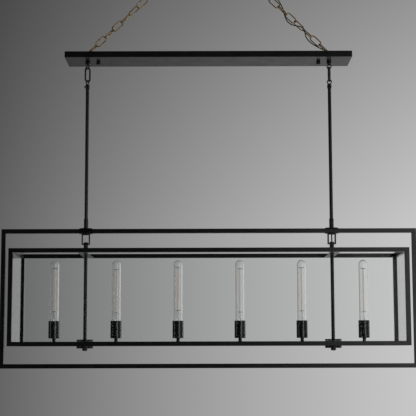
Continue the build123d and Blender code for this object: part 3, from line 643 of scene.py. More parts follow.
class PENDANT_OT_cord(PieceOperator):
    """Lays the power cord along the right chain, and its end inside the canopy."""

    bl_idname = "pendant.cord"
    bl_label = "Power cord"

    def make(self, size):
        eye = eye_centre(size, RIGHT)
        along = (CHAIN_START - eye).normalized()
        below = Vector((-along.z, 0, along.x))
        strap_exit = Vector((*CORD_EXIT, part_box("mounting_strap")[1].z - STRAP))
        plate_exit = Vector((0.036, 0, -0.0003))
        weave = [
            (3.2, -10.0, 19.0), (14.5, -8.2, 19.0), (25.7, 0.2, 18.5), (45.5, 7.4, 14.0),
            (70.0, 14.8, 7.5), (90.0, 17.8, -0.5), (107.0, 15.0, -9.0), (119.0, 5.5, -15.0),
            (129.5, 1.2, -17.0), (142.5, 1.9, -17.0), (158.0, 10.2, -13.0), (177.0, 19.5, -7.5),
            (195.0, 20.0, -5.0), (211.0, 14.0, -5.0), (225.0, 5.5, -4.5), (238.0, -3.5, -1.5),
            (254.0, -11.5, 3.0), (276.0, -19.5, 5.5), (306.0, -22.0, 3.5), (342.0, -18.5, -2.0),
            (382.0, -23.0, -4.0), (424.0, -18.0, 1.0), (464.0, -20.5, 4.0), (502.0, -25.5, 2.5),
            (536.0, -23.0, 0.0),
        ]
        route = [strap_exit, strap_exit + Vector((0, 0, 0.0115))]
        for up, under, back in weave:
            route.append(eye + along * up * MM + below * under * MM + Vector((0, back * MM, 0)))
        route.append(plate_exit + Vector((0.0015, 0, -0.043)))
        route.append(plate_exit - Vector((0, 0, 0.020)))
        route.append(plate_exit)
        cord = wire("power_cord_line", route, size.cord)
        finished(cord, "suspension", "cord_black", sheath(), "power_cord")

        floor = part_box("canopy")[0].z + size.canopy_sheet
        rest = floor + 0.0055
        run = [
            strap_exit,
            Vector((*CORD_EXIT, rest + 0.005)),
            Vector((0.457, 0.019, rest)),
            Vector((0.442, 0.0205, rest)),
            Vector((0.410, 0.019, rest)),
        ]
        pieces = [wire("cord_end", run, size.cord)]
        for row in (-1, 0, 1):
            near = 0.019 + row * 0.001
            away = 0.019 + row * CONNECTOR_PITCH
            bare = [
                (0.4105, near, rest), (0.406, near, rest), (0.396, away, rest),
                (0.3915, away, rest),
            ]
            pieces.append(wire("conductor", bare, 0.0018))
        finished(as_mesh("cord_end", pieces), "suspension", "cord_black", sheath(), "cord_tail")


class PENDANT_OT_wiring(PieceOperator):
    """Lays the wires of the right stem, the socket rail and the sockets."""

    bl_idname = "pendant.wiring"
    bl_label = "Lamp wires"

    def make(self, size):
        low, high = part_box("lamp_wires")
        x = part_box("stem_right")[0].x + size.stem / 2
        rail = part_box("socket_rail")
        runs = []
        steps = 9
        main = [(x, 0, low.z + (high.z - low.z) * i / steps) for i in range(steps + 1)]
        runs.append(wire("stem_wire", main, size.lamp_wire))
        z = rail[0].z + 0.0027
        for side in (LEFT, RIGHT):
            y = side * 0.0065
            harness = [(rail[0].x + (rail[1].x - rail[0].x) * i / 12, y, z) for i in range(13)]
            runs.append(wire("harness", harness, 0.0024))
        for i in range(1, LAMPS + 1):
            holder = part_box(f"bulb_{i}_base")
            x = (holder[0].x + holder[1].x) / 2
            lead = [(x, 0, rail[1].z - 0.0055), (x, 0, rail[1].z + 0.009),
                    (x, 0, rail[1].z + 0.0275)]
            runs.append(wire("lead", lead, 0.0054))
        finished(as_mesh("lamp_wire_runs", runs), "fixture", "cord_black", sheath(), "lamp_wires")


class PENDANT_OT_chain(PieceOperator):
    """Hangs the brass chain over its hook, with an eye at each end."""

    bl_idname = "pendant.chain"
    bl_label = "Chain"

    def link(self, size):
        """One welded oval link at the origin, along X."""
        straight = size.link_pitch + size.link_slack - size.link_width
        bend = (size.link_width + size.chain_wire) / 2
        obj = ring("chain_link", size.chain_wire, bend, (0, 0, 0), (0, 0, 1), segments=32)
        edit(obj)
        for way in (LEFT, RIGHT):
            choose(obj, "verts", lambda v: way * v.co.x > 0.0002)
            bpy.ops.transform.translate(value=(way * straight / 2, 0, 0))
        for spread in (-0.0022, 0.0022):
            bpy.ops.mesh.select_mode(type="FACE")
            bpy.ops.mesh.select_all(action="SELECT")
            bpy.ops.mesh.bisect(plane_co=(spread, 0, 0), plane_no=(1, 0, 0))
        choose(obj, "verts", lambda v: v.co.y > 0 and abs(v.co.x) < 0.0005)
        bpy.ops.transform.resize(value=(1, 1.07, 1.07), center_override=(0, bend, 0))
        done()
        return obj

    def make(self, size):
        brass = antique_brass()
        link = self.link(size)
        for side, first_twist, body_name in ((LEFT, 4, "chain_left"), (RIGHT, 2, "chain_right")):
            eye = eye_centre(size, side)
            start = Vector((side * CHAIN_START.x, 0, CHAIN_START.z))
            along = (start - eye).normalized()
            below = Vector((-along.z, 0, along.x)) if side > 0 else Vector((along.z, 0, -along.x))
            links = []
            for k in range(1, LINKS_PER_SIDE + 1):
                roll = math.radians(90 * k + 30 * min(max(k - first_twist, 0), 3))
                centre = eye + along * (size.eye_hole / 2 + (k - 0.5) * size.link_pitch)
                across = below * math.cos(roll) + Vector((0, 1, 0)) * math.sin(roll)
                third = along.cross(across)
                turn = Matrix((along, across, third)).transposed().to_4x4()
                links.append(copied(link, "link", Matrix.Translation(centre) @ turn))
            chain = joined(body_name + "_links", links)
            finished(chain, "suspension", "chain_brass", brass, body_name, smooth=60)
        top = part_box("chain_top_link")
        place = Matrix.Translation((top[0] + top[1]) / 2) @ Matrix.Rotation(math.pi / 2, 4, "X")
        crown = copied(link, "crown_link", place)
        finished(crown, "suspension", "chain_brass", brass, "chain_top_link", smooth=60)
        bpy.data.objects.remove(link)

        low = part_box("chain_eyes")[0]
        major = (size.eye_hole + size.chain_wire) / 2
        eyes = []
        for side in (LEFT, RIGHT):
            x = side * STEM_X
            eyes.append(ring("eye", size.chain_wire, major, eye_centre(size, side), (0, 1, 0)))
            hub = [
                (0.0050, low.z), (0.0068, low.z), (0.00725, low.z + 0.0006),
                (0.00725, low.z + 0.0022), (0.0062, low.z + 0.0036), (0.0040, low.z + 0.0040),
                (0.0030, low.z + 0.0040),
            ]
            eyes.append(turned("eye_hub", hub, x))
        finished(joined("canopy_eyes", eyes), "suspension", "chain_brass", brass, "chain_eyes")
        repaint("ceiling_hook", brass)
        repaint("ceiling_plate", powder_coat())
        repaint("cord_bushings", moulded("Black Bushing", (0.02, 0.02, 0.021), (0.35, 0.5)))


class PENDANT_OT_canopy(PieceOperator):
    """Folds the canopy's tray, and makes its knobs, nuts and wire connectors."""

    bl_idname = "pendant.canopy"
    bl_label = "Canopy"

    def make(self, size):
        low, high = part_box("canopy")
        deselect()
        bpy.ops.mesh.primitive_cube_add(size=1, location=(low + high) / 2, scale=high - low)
        tray = bpy.context.object
        tray.name = "canopy_tray"
        place_applied()
        edit(tray)
        choose(tray, "faces", lambda f: f.normal.z > 0.5)
        bpy.ops.mesh.delete(type="ONLY_FACE")
        choose(tray, "edges", lambda e: middle_of(e).z < high.z - 0.001)
        bpy.ops.mesh.bevel(offset=size.canopy_edge, segments=4, affect="EDGES")
        done()
        modified(tray, "Sheet", "SOLIDIFY", thickness=size.canopy_sheet, offset=-1.0,
                 use_even_offset=True)
        in_black(tray, "suspension", "canopy")

        for side, name in ((LEFT, "canopy_knob_left"), (RIGHT, "canopy_knob_right")):
            low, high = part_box(name)
            x = (low.x + high.x) / 2
            radius = (high.x - low.x) / 2
            outline = [
                (radius * 0.45, low.z), (radius * 0.80, low.z + 0.0003),
                (radius * 0.94, low.z + 0.0010), (radius, low.z + 0.0020),
                (radius, high.z - 0.0030), (radius * 0.90, high.z - 0.0022),
                (radius * 0.90, high.z - 0.0014), (radius * 0.98, high.z - 0.0008),
                (radius * 0.98, high.z),
            ]
            knob = turned(name + "_grip", outline, x, 0, segments=72)
            fluted(knob, low.z + 0.0015, high.z - 0.0026, 5, 0.955, x)
            in_black(knob, "left_knob" if side < 0 else "right_knob", name)

        repaint("mounting_strap", zinc_steel())
        repaint("ground_screw", moulded("Green Screw", colours().ground, (0.3, 0.45)))
        nuts = []
        strap_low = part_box("canopy")[1].z - STRAP
        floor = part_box("canopy")[0].z + size.canopy_sheet
        for side in (LEFT, RIGHT):
            for base, tall in ((strap_low - 0.005, 0.005), (floor, 0.004)):
                deselect()
                bpy.ops.mesh.primitive_cylinder_add(
                    vertices=6,
                    radius=NUT_FLATS / math.sqrt(3),
                    depth=tall,
                    location=(side * STEM_X, 0, base + tall / 2),
                    rotation=(0, 0, math.pi / 6),
                )
                nut = bpy.context.object
                place_applied()
                edit(nut)
                bpy.ops.mesh.select_all(action="SELECT")
                bpy.ops.mesh.bevel(offset=0.0006, segments=2, affect="EDGES")
                done()
                nuts.append(nut)
        finished(joined("lock_nuts", nuts), "suspension", "frame_black", zinc_steel(), "strap_nuts")

        low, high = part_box("wire_connectors")
        caps = []
        for row in (-1, 0, 1):
            outline = [
                (0.0046, 0), (0.0054, 0.0004), (0.0055, 0.0012), (0.0047, 0.0035),
                (0.0043, 0.0100), (0.0039, 0.0170), (0.0034, 0.0192), (0.0022, 0.0200),
            ]
            cap = turned("connector", outline, segments=40)
            fluted(cap, 0.003, 0.018, 9, 0.9)
            y = (low.y + high.y) / 2 + row * CONNECTOR_PITCH
            place = Matrix.Translation((high.x, y, (low.z + high.z) / 2))
            caps.append(moved(cap, place @ Matrix.Rotation(-math.pi / 2, 4, "Y")))
        orange = moulded("Orange Connector", colours().connector, (0.25, 0.4))
        finished(joined("twist_connectors", caps), "suspension", "connector", orange,
                 "wire_connectors")


class PENDANT_OT_swivels(PieceOperator):
    """Makes the rings under the canopy and on the stems, and the oval links between."""

    bl_idname = "pendant.swivels"
    bl_label = "Swivel loops"

    def link(self, size):
        """One oval link at the origin, along X, from a ring of rounded section."""
        outer = size.swivel_width / 2
        inner = outer - size.swivel_bar
        half = size.swivel_depth / 2
        edge = 0.0015
        soft = edge * 0.3
        outline = [
            (inner + edge, -half), (outer - edge, -half), (outer - soft, soft - half),
            (outer, edge - half), (outer, half - edge), (outer - soft, half - soft),
            (outer - edge, half), (inner + edge, half), (inner + soft, half - soft),
            (inner, half - edge), (inner, edge - half), (inner + soft, soft - half),
            (inner + edge, -half),
        ]
        obj = turned("swivel_link", outline, segments=64)
        edit(obj)
        for way in (LEFT, RIGHT):
            choose(obj, "verts", lambda v: way * v.co.x > 0.0001)
            straight = size.swivel_length - size.swivel_width
            bpy.ops.transform.translate(value=(way * straight / 2, 0, 0))
        done()
        return obj

    def make(self, size):
        canopy_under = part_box("canopy")[0].z
        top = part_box("canopy_loops")[1].z
        stem_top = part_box("stem_left")[1].z
        major = (size.ring_hole + size.ring_wire) / 2
        link = self.link(size)
        loops, hubs, screws = [], [], []
        for side, turn in ((LEFT, size.turn_left), (RIGHT, size.turn_right)):
            x = side * STEM_X
            name = "swivel_link_left" if side < 0 else "swivel_link_right"
            low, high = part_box(name)
            place = upright(x, (low.z + high.z) / 2, turn) @ Matrix.Rotation(math.pi / 2, 4, "Z")
            oval = copied(link, name + "_oval", place)
            in_black(oval, "left_link" if side < 0 else "right_link", name)
            ring_axis = (math.sin(turn - math.pi / 2), -math.cos(turn - math.pi / 2), 0)

            collar = canopy_under - 0.010
            outline = [
                (0.0060, collar), (0.0078, collar + 0.0003), (0.0086, collar + 0.0012),
                (0.00875, collar + 0.0024), (0.00875, canopy_under - 0.0010),
                (0.0084, canopy_under - 0.0002), (0.0084, canopy_under),
                (size.nipple / 2, canopy_under), (size.nipple / 2, top - 0.0005),
                (size.nipple / 2 - 0.0005, top),
            ]
            loops.append(turned("loop_collar", outline, x))
            ring_z = collar - major - size.ring_wire / 2 + 0.00025
            loops.append(ring("loop_ring", size.ring_wire, major, (x, 0, ring_z), ring_axis))

            hub_top = stem_top + 0.015
            outline = [
                (size.nipple / 2, stem_top - 0.0120), (size.nipple / 2, stem_top),
                (0.0080, stem_top), (0.00825, stem_top + 0.0008), (0.00825, hub_top - 0.0028),
                (0.0076, hub_top - 0.0010), (0.0058, hub_top),
            ]
            hubs.append(turned("stem_hub", outline, x))
            ring_z = hub_top + major + size.ring_wire / 2 - 0.00075
            hubs.append(ring("hub_ring", size.ring_wire, major, (x, 0, ring_z), ring_axis))

            outline = [
                (0.0014, 0.0070), (0.0014, 0.0087), (0.0021, 0.0087), (0.0023, 0.0090),
                (0.0023, 0.0126), (0.0020, 0.0130), (0.0009, 0.0130), (0.0009, 0.0118),
            ]
            screw = turned("set_screw", outline, segments=36)
            fluted(screw, 0.0089, 0.0127, 10, 0.93)
            middle = Matrix.Translation((x, 0, stem_top + 0.0075))
            if side < 0:
                lean = Matrix.Rotation(-math.pi / 2, 4, "Y")
            else:
                lean = Matrix.Rotation(-math.pi / 2, 4, "X")
            screws.append(moved(screw, middle @ lean))
        bpy.data.objects.remove(link)
        in_black(joined("canopy_ring_loops", loops), "suspension", "canopy_loops")
        in_black(joined("stem_ring_hubs", hubs), "fixture", "stem_loops")
        in_black(joined("hub_set_screws", screws), "fixture", "stem_loop_screws")


class PENDANT_OT_stems(PieceOperator):
    """Makes the stems, the cups at their feet and the washers."""

    bl_idname = "pendant.stems"
    bl_label = "Stems"

    def make(self, size):
        cups, washers = [], []
        for side, name in ((LEFT, "stem_left"), (RIGHT, "stem_right")):
            x = side * STEM_X
            low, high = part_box(name)
            outline = bored(size.stem / 2, size.stem / 2 - 0.0014, low.z, high.z, 0.0004)
            in_black(turned(name + "_tube", outline, x, segments=64), "fixture", name)
            low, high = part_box("stem_ferrules")
            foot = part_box("frame_washers")[1].z
            bore = size.stem / 2 + 0.0001
            outline = [
                (size.nipple / 2, low.z), (size.nipple / 2, foot), (0.00725, foot),
                (0.0079, foot + 0.0003), (0.00825, foot + 0.0010), (0.00825, foot + 0.0285),
                (0.0079, foot + 0.0292), (0.0079, foot + 0.0300), (0.00825, foot + 0.0308),
                (0.00825, high.z - 0.0010), (0.0079, high.z - 0.0003), (0.00725, high.z),
                (bore, high.z), (bore, foot + 0.0050),
            ]
            cups.append(turned("stem_cup", outline, x))
            for low_z in (foot - 0.002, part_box("yokes")[1].z):
                outline = bored(0.025, size.nipple / 2 + 0.0001, low_z, low_z + 0.002, 0.0005)
                washers.append(turned("washer", outline, x, segments=80))
        in_black(joined("stem_cups", cups), "fixture", "stem_ferrules")
        in_black(joined("frame_discs", washers), "fixture", "frame_washers")


class PENDANT_OT_outer_frame(PieceOperator):
    """Makes the flat outer frame of square tube."""

    bl_idname = "pendant.outer_frame"
    bl_label = "Outer frame"

    def make(self, size):
        for name in ("outer_top_bar", "outer_bottom_bar", "outer_left_post", "outer_right_post"):
            low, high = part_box(name)
            bar = soft_box(name + "_tube", low, high, size.bar_edge)
            in_black(bar, "fixture", name)


class PENDANT_OT_hangers(PieceOperator):
    """Makes the yokes, their nuts and couplings, the cross plates, rods and collars."""

    bl_idname = "pendant.hangers"
    bl_label = "Yokes and rods"

    def make(self, size):
        yokes, nuts, couplings, plates, rods, collars, finials = [], [], [], [], [], [], []
        yoke_low, yoke_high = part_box("yokes")
        plate_low, plate_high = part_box("cross_plates")
        rod_low, rod_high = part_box("cage_rods")
        rail_low, rail_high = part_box("socket_rail")
        finial_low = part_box("finials")[0]
        for side in (LEFT, RIGHT):
            x = side * STEM_X
            low = Vector((x - 0.01525, yoke_low.y, yoke_low.z))
            high = Vector((x + 0.01525, yoke_high.y, yoke_high.z))
            deselect()
            bpy.ops.mesh.primitive_cube_add(size=1, location=(low + high) / 2, scale=high - low)
            yoke = bpy.context.object
            place_applied()
            edit(yoke)
            choose(yoke, "faces", lambda f: abs(f.normal.y) > 0.5)
            bpy.ops.mesh.inset(thickness=0.004, use_individual=True)
            bpy.ops.transform.resize(value=(0.956, 1, 1), center_override=(x, 0, low.z))
            bpy.ops.mesh.bridge_edge_loops()
            choose(yoke, "edges", lambda e: e.calc_face_angle(0) > 1)
            bpy.ops.mesh.bevel(offset=0.0007, segments=3, affect="EDGES")
            done()
            yokes.append(yoke)

            web = yoke_low.z + 0.004
            outline = [
                (0.0079, web), (0.0085, web + 0.0006), (0.0085, web + 0.0032),
                (0.0081, web + 0.0042), (0.0072, web + 0.0048), (0.0060, web + 0.0050),
                (0.0028, web + 0.0050), (0.0028, web + 0.0044),
            ]
            nuts.append(turned("cap_nut", outline, x))
            foot = plate_high.z
            outline = [
                (size.stem / 2 + 0.0001, foot), (0.0076, foot), (0.00825, foot + 0.0008),
                (0.00825, foot + 0.0270), (0.0078, foot + 0.0277), (0.0078, foot + 0.0285),
                (0.00825, foot + 0.0292), (0.00825, yoke_low.z - 0.0008), (0.0076, yoke_low.z),
                (size.nipple / 2, yoke_low.z), (size.nipple / 2, web + 0.0038),
            ]
            couplings.append(turned("coupling", outline, x))
            low = Vector((x - 0.017, plate_low.y, plate_low.z))
            high = Vector((x + 0.017, plate_high.y, plate_high.z))
            plates.append(soft_box("cross_plate", low, high, size.plate_edge))
            outline = bored(size.stem / 2, size.stem / 2 - 0.0014, rod_low.z, rod_high.z, 0.0003)
            rods.append(turned("rod", outline, x, segments=64))

            for base, tall in ((rail_high.z, 0.0085), (rail_low.z - 0.0085, 0.0085)):
                outline = [
                    (0.0065, base), (0.0290, base), (0.0297, base + 0.0003),
                    (0.0300, base + 0.0010), (0.0300, base + 0.0034), (0.0297, base + 0.0040),
                    (0.0297, base + 0.0045), (0.0300, base + 0.0051),
                    (0.0300, base + tall - 0.0010), (0.0297, base + tall - 0.0003),
                    (0.0290, base + tall), (0.0065, base + tall), (0.0065, base),
                ]
                collars.append(turned("collar", outline, x, segments=96))
            top = rail_low.z - 0.0085
            outline = [
                (0.0030, finial_low.z), (0.0062, finial_low.z + 0.0003),
                (0.0086, finial_low.z + 0.0014), (0.0095, finial_low.z + 0.0032),
                (0.0095, top - 0.0014), (0.0088, top - 0.0009), (0.0088, top), (0.0049, top),
                (0.0049, top + 0.006),
            ]
            finials.append(turned("finial", outline, x, segments=64))
        in_black(joined("yoke_loops", yokes), "fixture", "yokes")
        in_black(joined("yoke_nuts", nuts), "fixture", "yoke_cap_nuts")
        in_black(joined("couplings", couplings), "fixture", "rod_couplings")
        in_black(joined("top_plates", plates), "fixture", "cross_plates")
        in_black(joined("rod_tubes", rods), "fixture", "cage_rods")
        in_black(joined("rail_collars", collars), "fixture", "rod_collars")
        in_black(joined("finial_nuts", finials), "fixture", "finials")


class PENDANT_OT_cage(PieceOperator):
    """Makes the cage's rails and posts, and its socket rail."""

    bl_idname = "pendant.cage"
    bl_label = "Cage"

    def make(self, size):
        bar = size.cage_bar
        for name in ("cage_top_rails", "cage_bottom_rails"):
            low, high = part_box(name)
            bars = []
            for y in (low.y, high.y - bar):
                bars.append(soft_box("rail", (low.x, y, low.z), (high.x, y + bar, high.z),
                                     size.bar_edge))
            for x in (low.x, high.x - bar):
                bars.append(soft_box("end_rail", (x, low.y + bar, low.z),
                                     (x + bar, high.y - bar, high.z), size.bar_edge))
            in_black(joined(name + "_tubes", bars), "fixture", name)
        low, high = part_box("cage_posts")
        posts = []
        for x in (low.x, high.x - bar):
            for y in (low.y, high.y - bar):
                posts.append(soft_box("post", (x, y, low.z), (x + bar, y + bar, high.z),
                                      size.bar_edge))
        in_black(joined("cage_post_tubes", posts), "fixture", "cage_posts")
        low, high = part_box("socket_rail")
        rail = soft_box("socket_rail_tube", low, high, size.bar_edge)
        in_black(rail, "fixture", "socket_rail")
        repaint("glass_clips", clear_glass("Clear Clip", (0.97, 0.98, 0.98), 0.08, bend=1.2))


class PENDANT_OT_panes(PieceOperator):
    """Makes the four glass panes, with polished edges."""

    bl_idname = "pendant.panes"
    bl_label = "Glass panes"

    def make(self, size):
        glass = clear_glass("Pane Glass", (0.985, 0.995, 0.99), 0.012, bend=1.055, flat=True)
        for name in ("glass_front", "glass_rear"):
            low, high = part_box(name)
            pane = soft_box(name + "_pane", low, high, size.glass_edge, segments=1)
            finished(pane, "fixture", "pane_glass", glass, name)
        low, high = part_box("glass_ends")
        ends = []
        for x in (low.x, high.x - 0.003):
            ends.append(soft_box("end_pane", (x, low.y, low.z), (x + 0.003, high.y, high.z),
                                 size.glass_edge, segments=1))
        finished(joined("glass_end_panes", ends), "fixture", "pane_glass", glass, "glass_ends")


def lamp_places():
    places = []
    for i in range(1, LAMPS + 1):
        low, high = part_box(f"bulb_{i}_glass")
        places.append((low.x + high.x) / 2)
    return places


class PENDANT_OT_sockets(PieceOperator):
    """Makes the sockets: a neck, a gloss cover and a porcelain holder at each lamp."""

    bl_idname = "pendant.sockets"
    bl_label = "Sockets"

    def make(self, size):
        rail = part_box("socket_rail")[1].z
        low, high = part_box("socket_covers")
        holder_low, holder_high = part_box("lamp_holders")
        necks, covers, holders = [], [], []
        for x in lamp_places():
            outline = [
                (size.nipple / 2, rail), (0.0062, rail), (0.0067, rail + 0.0006),
                (0.0067, rail + 0.0030), (0.0060, rail + 0.0038), (0.0060, low.z - 0.0040),
                (0.0067, low.z - 0.0032), (0.0067, low.z - 0.0006), (0.0062, low.z),
                (size.nipple / 2, low.z), (size.nipple / 2, low.z + 0.0040),
            ]
            necks.append(turned("neck", outline, x))
            radius = 0.0202
            inner = radius - 0.0015
            outline = [
                (0.0050, low.z), (radius - 0.0022, low.z), (radius - 0.0008, low.z + 0.0005),
                (radius, low.z + 0.0020), (radius, high.z - 0.0012),
                (radius - 0.0003, high.z - 0.0003), (radius - 0.0008, high.z),
                (inner, high.z - 0.0004), (inner, low.z + 0.0020), (0.0050, low.z + 0.0020),
                (0.0050, low.z),
            ]
            covers.append(turned("cover", outline, x, segments=80))
            bore = size.cap / 2 + 0.0005
            outline = [
                (0.0050, holder_low.z), (0.0155, holder_low.z), (0.0165, holder_low.z + 0.0010),
                (0.0165, holder_high.z - 0.0014), (0.0160, holder_high.z - 0.0004),
                (0.0150, holder_high.z), (bore + 0.0006, holder_high.z),
                (bore, holder_high.z - 0.0008), (bore, holder_low.z + 0.0150),
                (0.0050, holder_low.z + 0.0150), (0.0050, holder_low.z),
            ]
            holders.append(turned("holder", outline, x, segments=64))
        in_black(joined("socket_stems", necks), "fixture", "socket_necks")
        finished(joined("socket_cups", covers), "fixture", "socket_black", gloss_black(),
                 "socket_covers")
        finished(joined("porcelain_holders", holders), "fixture", "holder", porcelain(),
                 "lamp_holders")


class PENDANT_OT_bulbs(PieceOperator):
    """Makes six tubular bulbs: glass, screw cap, glass mount, wires and filament."""

    bl_idname = "pendant.bulbs"
    bl_label = "Bulbs"

    def make(self, size):
        glass = clear_glass("Bulb Glass", (0.985, 0.99, 0.99), 0.004)
        for i, x in enumerate(lamp_places(), 1):
            low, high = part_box(f"bulb_{i}_glass")
            radius = size.bulb / 2
            dome = high.z - radius
            outline = [(0.0125, low.z), (0.0126, low.z + 0.0015), (0.0134, low.z + 0.0045)]
            outline += [(0.0149, low.z + 0.0085), (radius, low.z + 0.0120), (radius, dome)]
            for step in range(1, 9):
                a = math.radians(step * 90 / 9)
                outline.append((radius * math.cos(a), dome + radius * math.sin(a)))
            outline.append((0, high.z))
            tube = turned(f"bulb_{i}_tube", outline, x, segments=64, fill=False)
            modified(tube, "Wall", "SOLIDIFY", thickness=size.bulb_wall, offset=-1.0,
                     use_even_offset=True)
            finished(tube, f"bulb_{i}", "bulb_glass", glass, f"bulb_{i}_glass", smooth=50)

            seat = low.z
            base_low, base_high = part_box(f"bulb_{i}_base")
            top = base_high.z - 0.0006
            bottom = top - 0.159
            cap_low = base_low.z + 0.0027
            parts = []
            outline = [(0.0070, cap_low), (0.0098, cap_low + 0.0006), (0.0118, cap_low + 0.0026)]
            for turn in range(4):
                z = cap_low + 0.0038 + turn * 0.0036
                outline += [(0.0122, z), (0.0130, z + 0.0010), (0.0130, z + 0.0018),
                            (0.0122, z + 0.0028)]
            outline += [(0.0124, seat - 0.0030), (0.0130, seat - 0.0020), (0.0130, seat),
                        (0.0105, seat)]
            parts.append(painted(turned("cap", outline, x, segments=56), nickel()))
            outline = [(0.0050, cap_low - 0.0010), (0.0068, cap_low - 0.0004),
                       (0.0070, cap_low + 0.0004)]
            parts.append(painted(turned("insulator", outline, x, segments=32), black_vitrite()))
            outline = [(0.0026, base_low.z), (0.0042, base_low.z + 0.0004),
                       (0.0050, base_low.z + 0.0012), (0.0050, base_low.z + 0.0022)]
            parts.append(painted(turned("contact", outline, x, segments=32), zinc_steel()))
            stem = seat + 0.030
            outline = [(0.0045, seat), (0.0045, seat + 0.004), (0.0038, seat + 0.012),
                       (0.0034, seat + 0.022), (0.0036, stem - 0.004), (0.0026, stem - 0.001),
                       (0.0012, stem)]
            parts.append(painted(turned("mount", outline, x, segments=32), glass))
            wires = []
            for edge in (LEFT, RIGHT):
                lead = [(x + edge * 0.0022, 0, stem - 0.006), (x + edge * 0.0022, 0, stem),
                        (x + edge * 0.0030, 0, (stem + bottom) / 2), (x + edge * 0.0017, 0, bottom)]
                wires.append(wire("lead", lead, 0.0009))
                hook = [(x, 0, top), (x + edge * 0.0060, 0, top),
                        (x + edge * 0.0085, 0, top - 0.0008),
                        (x + edge * 0.0082, 0, top - 0.0040)]
                wires.append(wire("hook", hook, 0.0015))
            wires.append(wire("bridge", [(x - 0.0085, 0, bottom), (x, 0, bottom + 0.0002),
                                         (x + 0.0085, 0, bottom)], 0.0015))
            parts.append(painted(as_mesh("mount_wires", wires), steel_wire()))
            for edge in (LEFT, RIGHT):
                middle = x + edge * 0.0017
                half = size.filament / 2
                stick = soft_box("stick", (middle - half, -half, bottom + 0.0030),
                                 (middle + half, half, top - 0.0030), 0.0005)
                parts.append(painted(stick, phosphor()))
                for end in (bottom + 0.0001, top - 0.0032):
                    tab = soft_box("tab", (middle - 0.0008, -0.0003, end),
                                   (middle + 0.0008, 0.0003, end + 0.0031), 0.0001, 1)
                    parts.append(painted(tab, steel_wire()))
            finished(joined(f"bulb_{i}_mount", parts), f"bulb_{i}", "bulb_cap", None,
                     f"bulb_{i}_base")


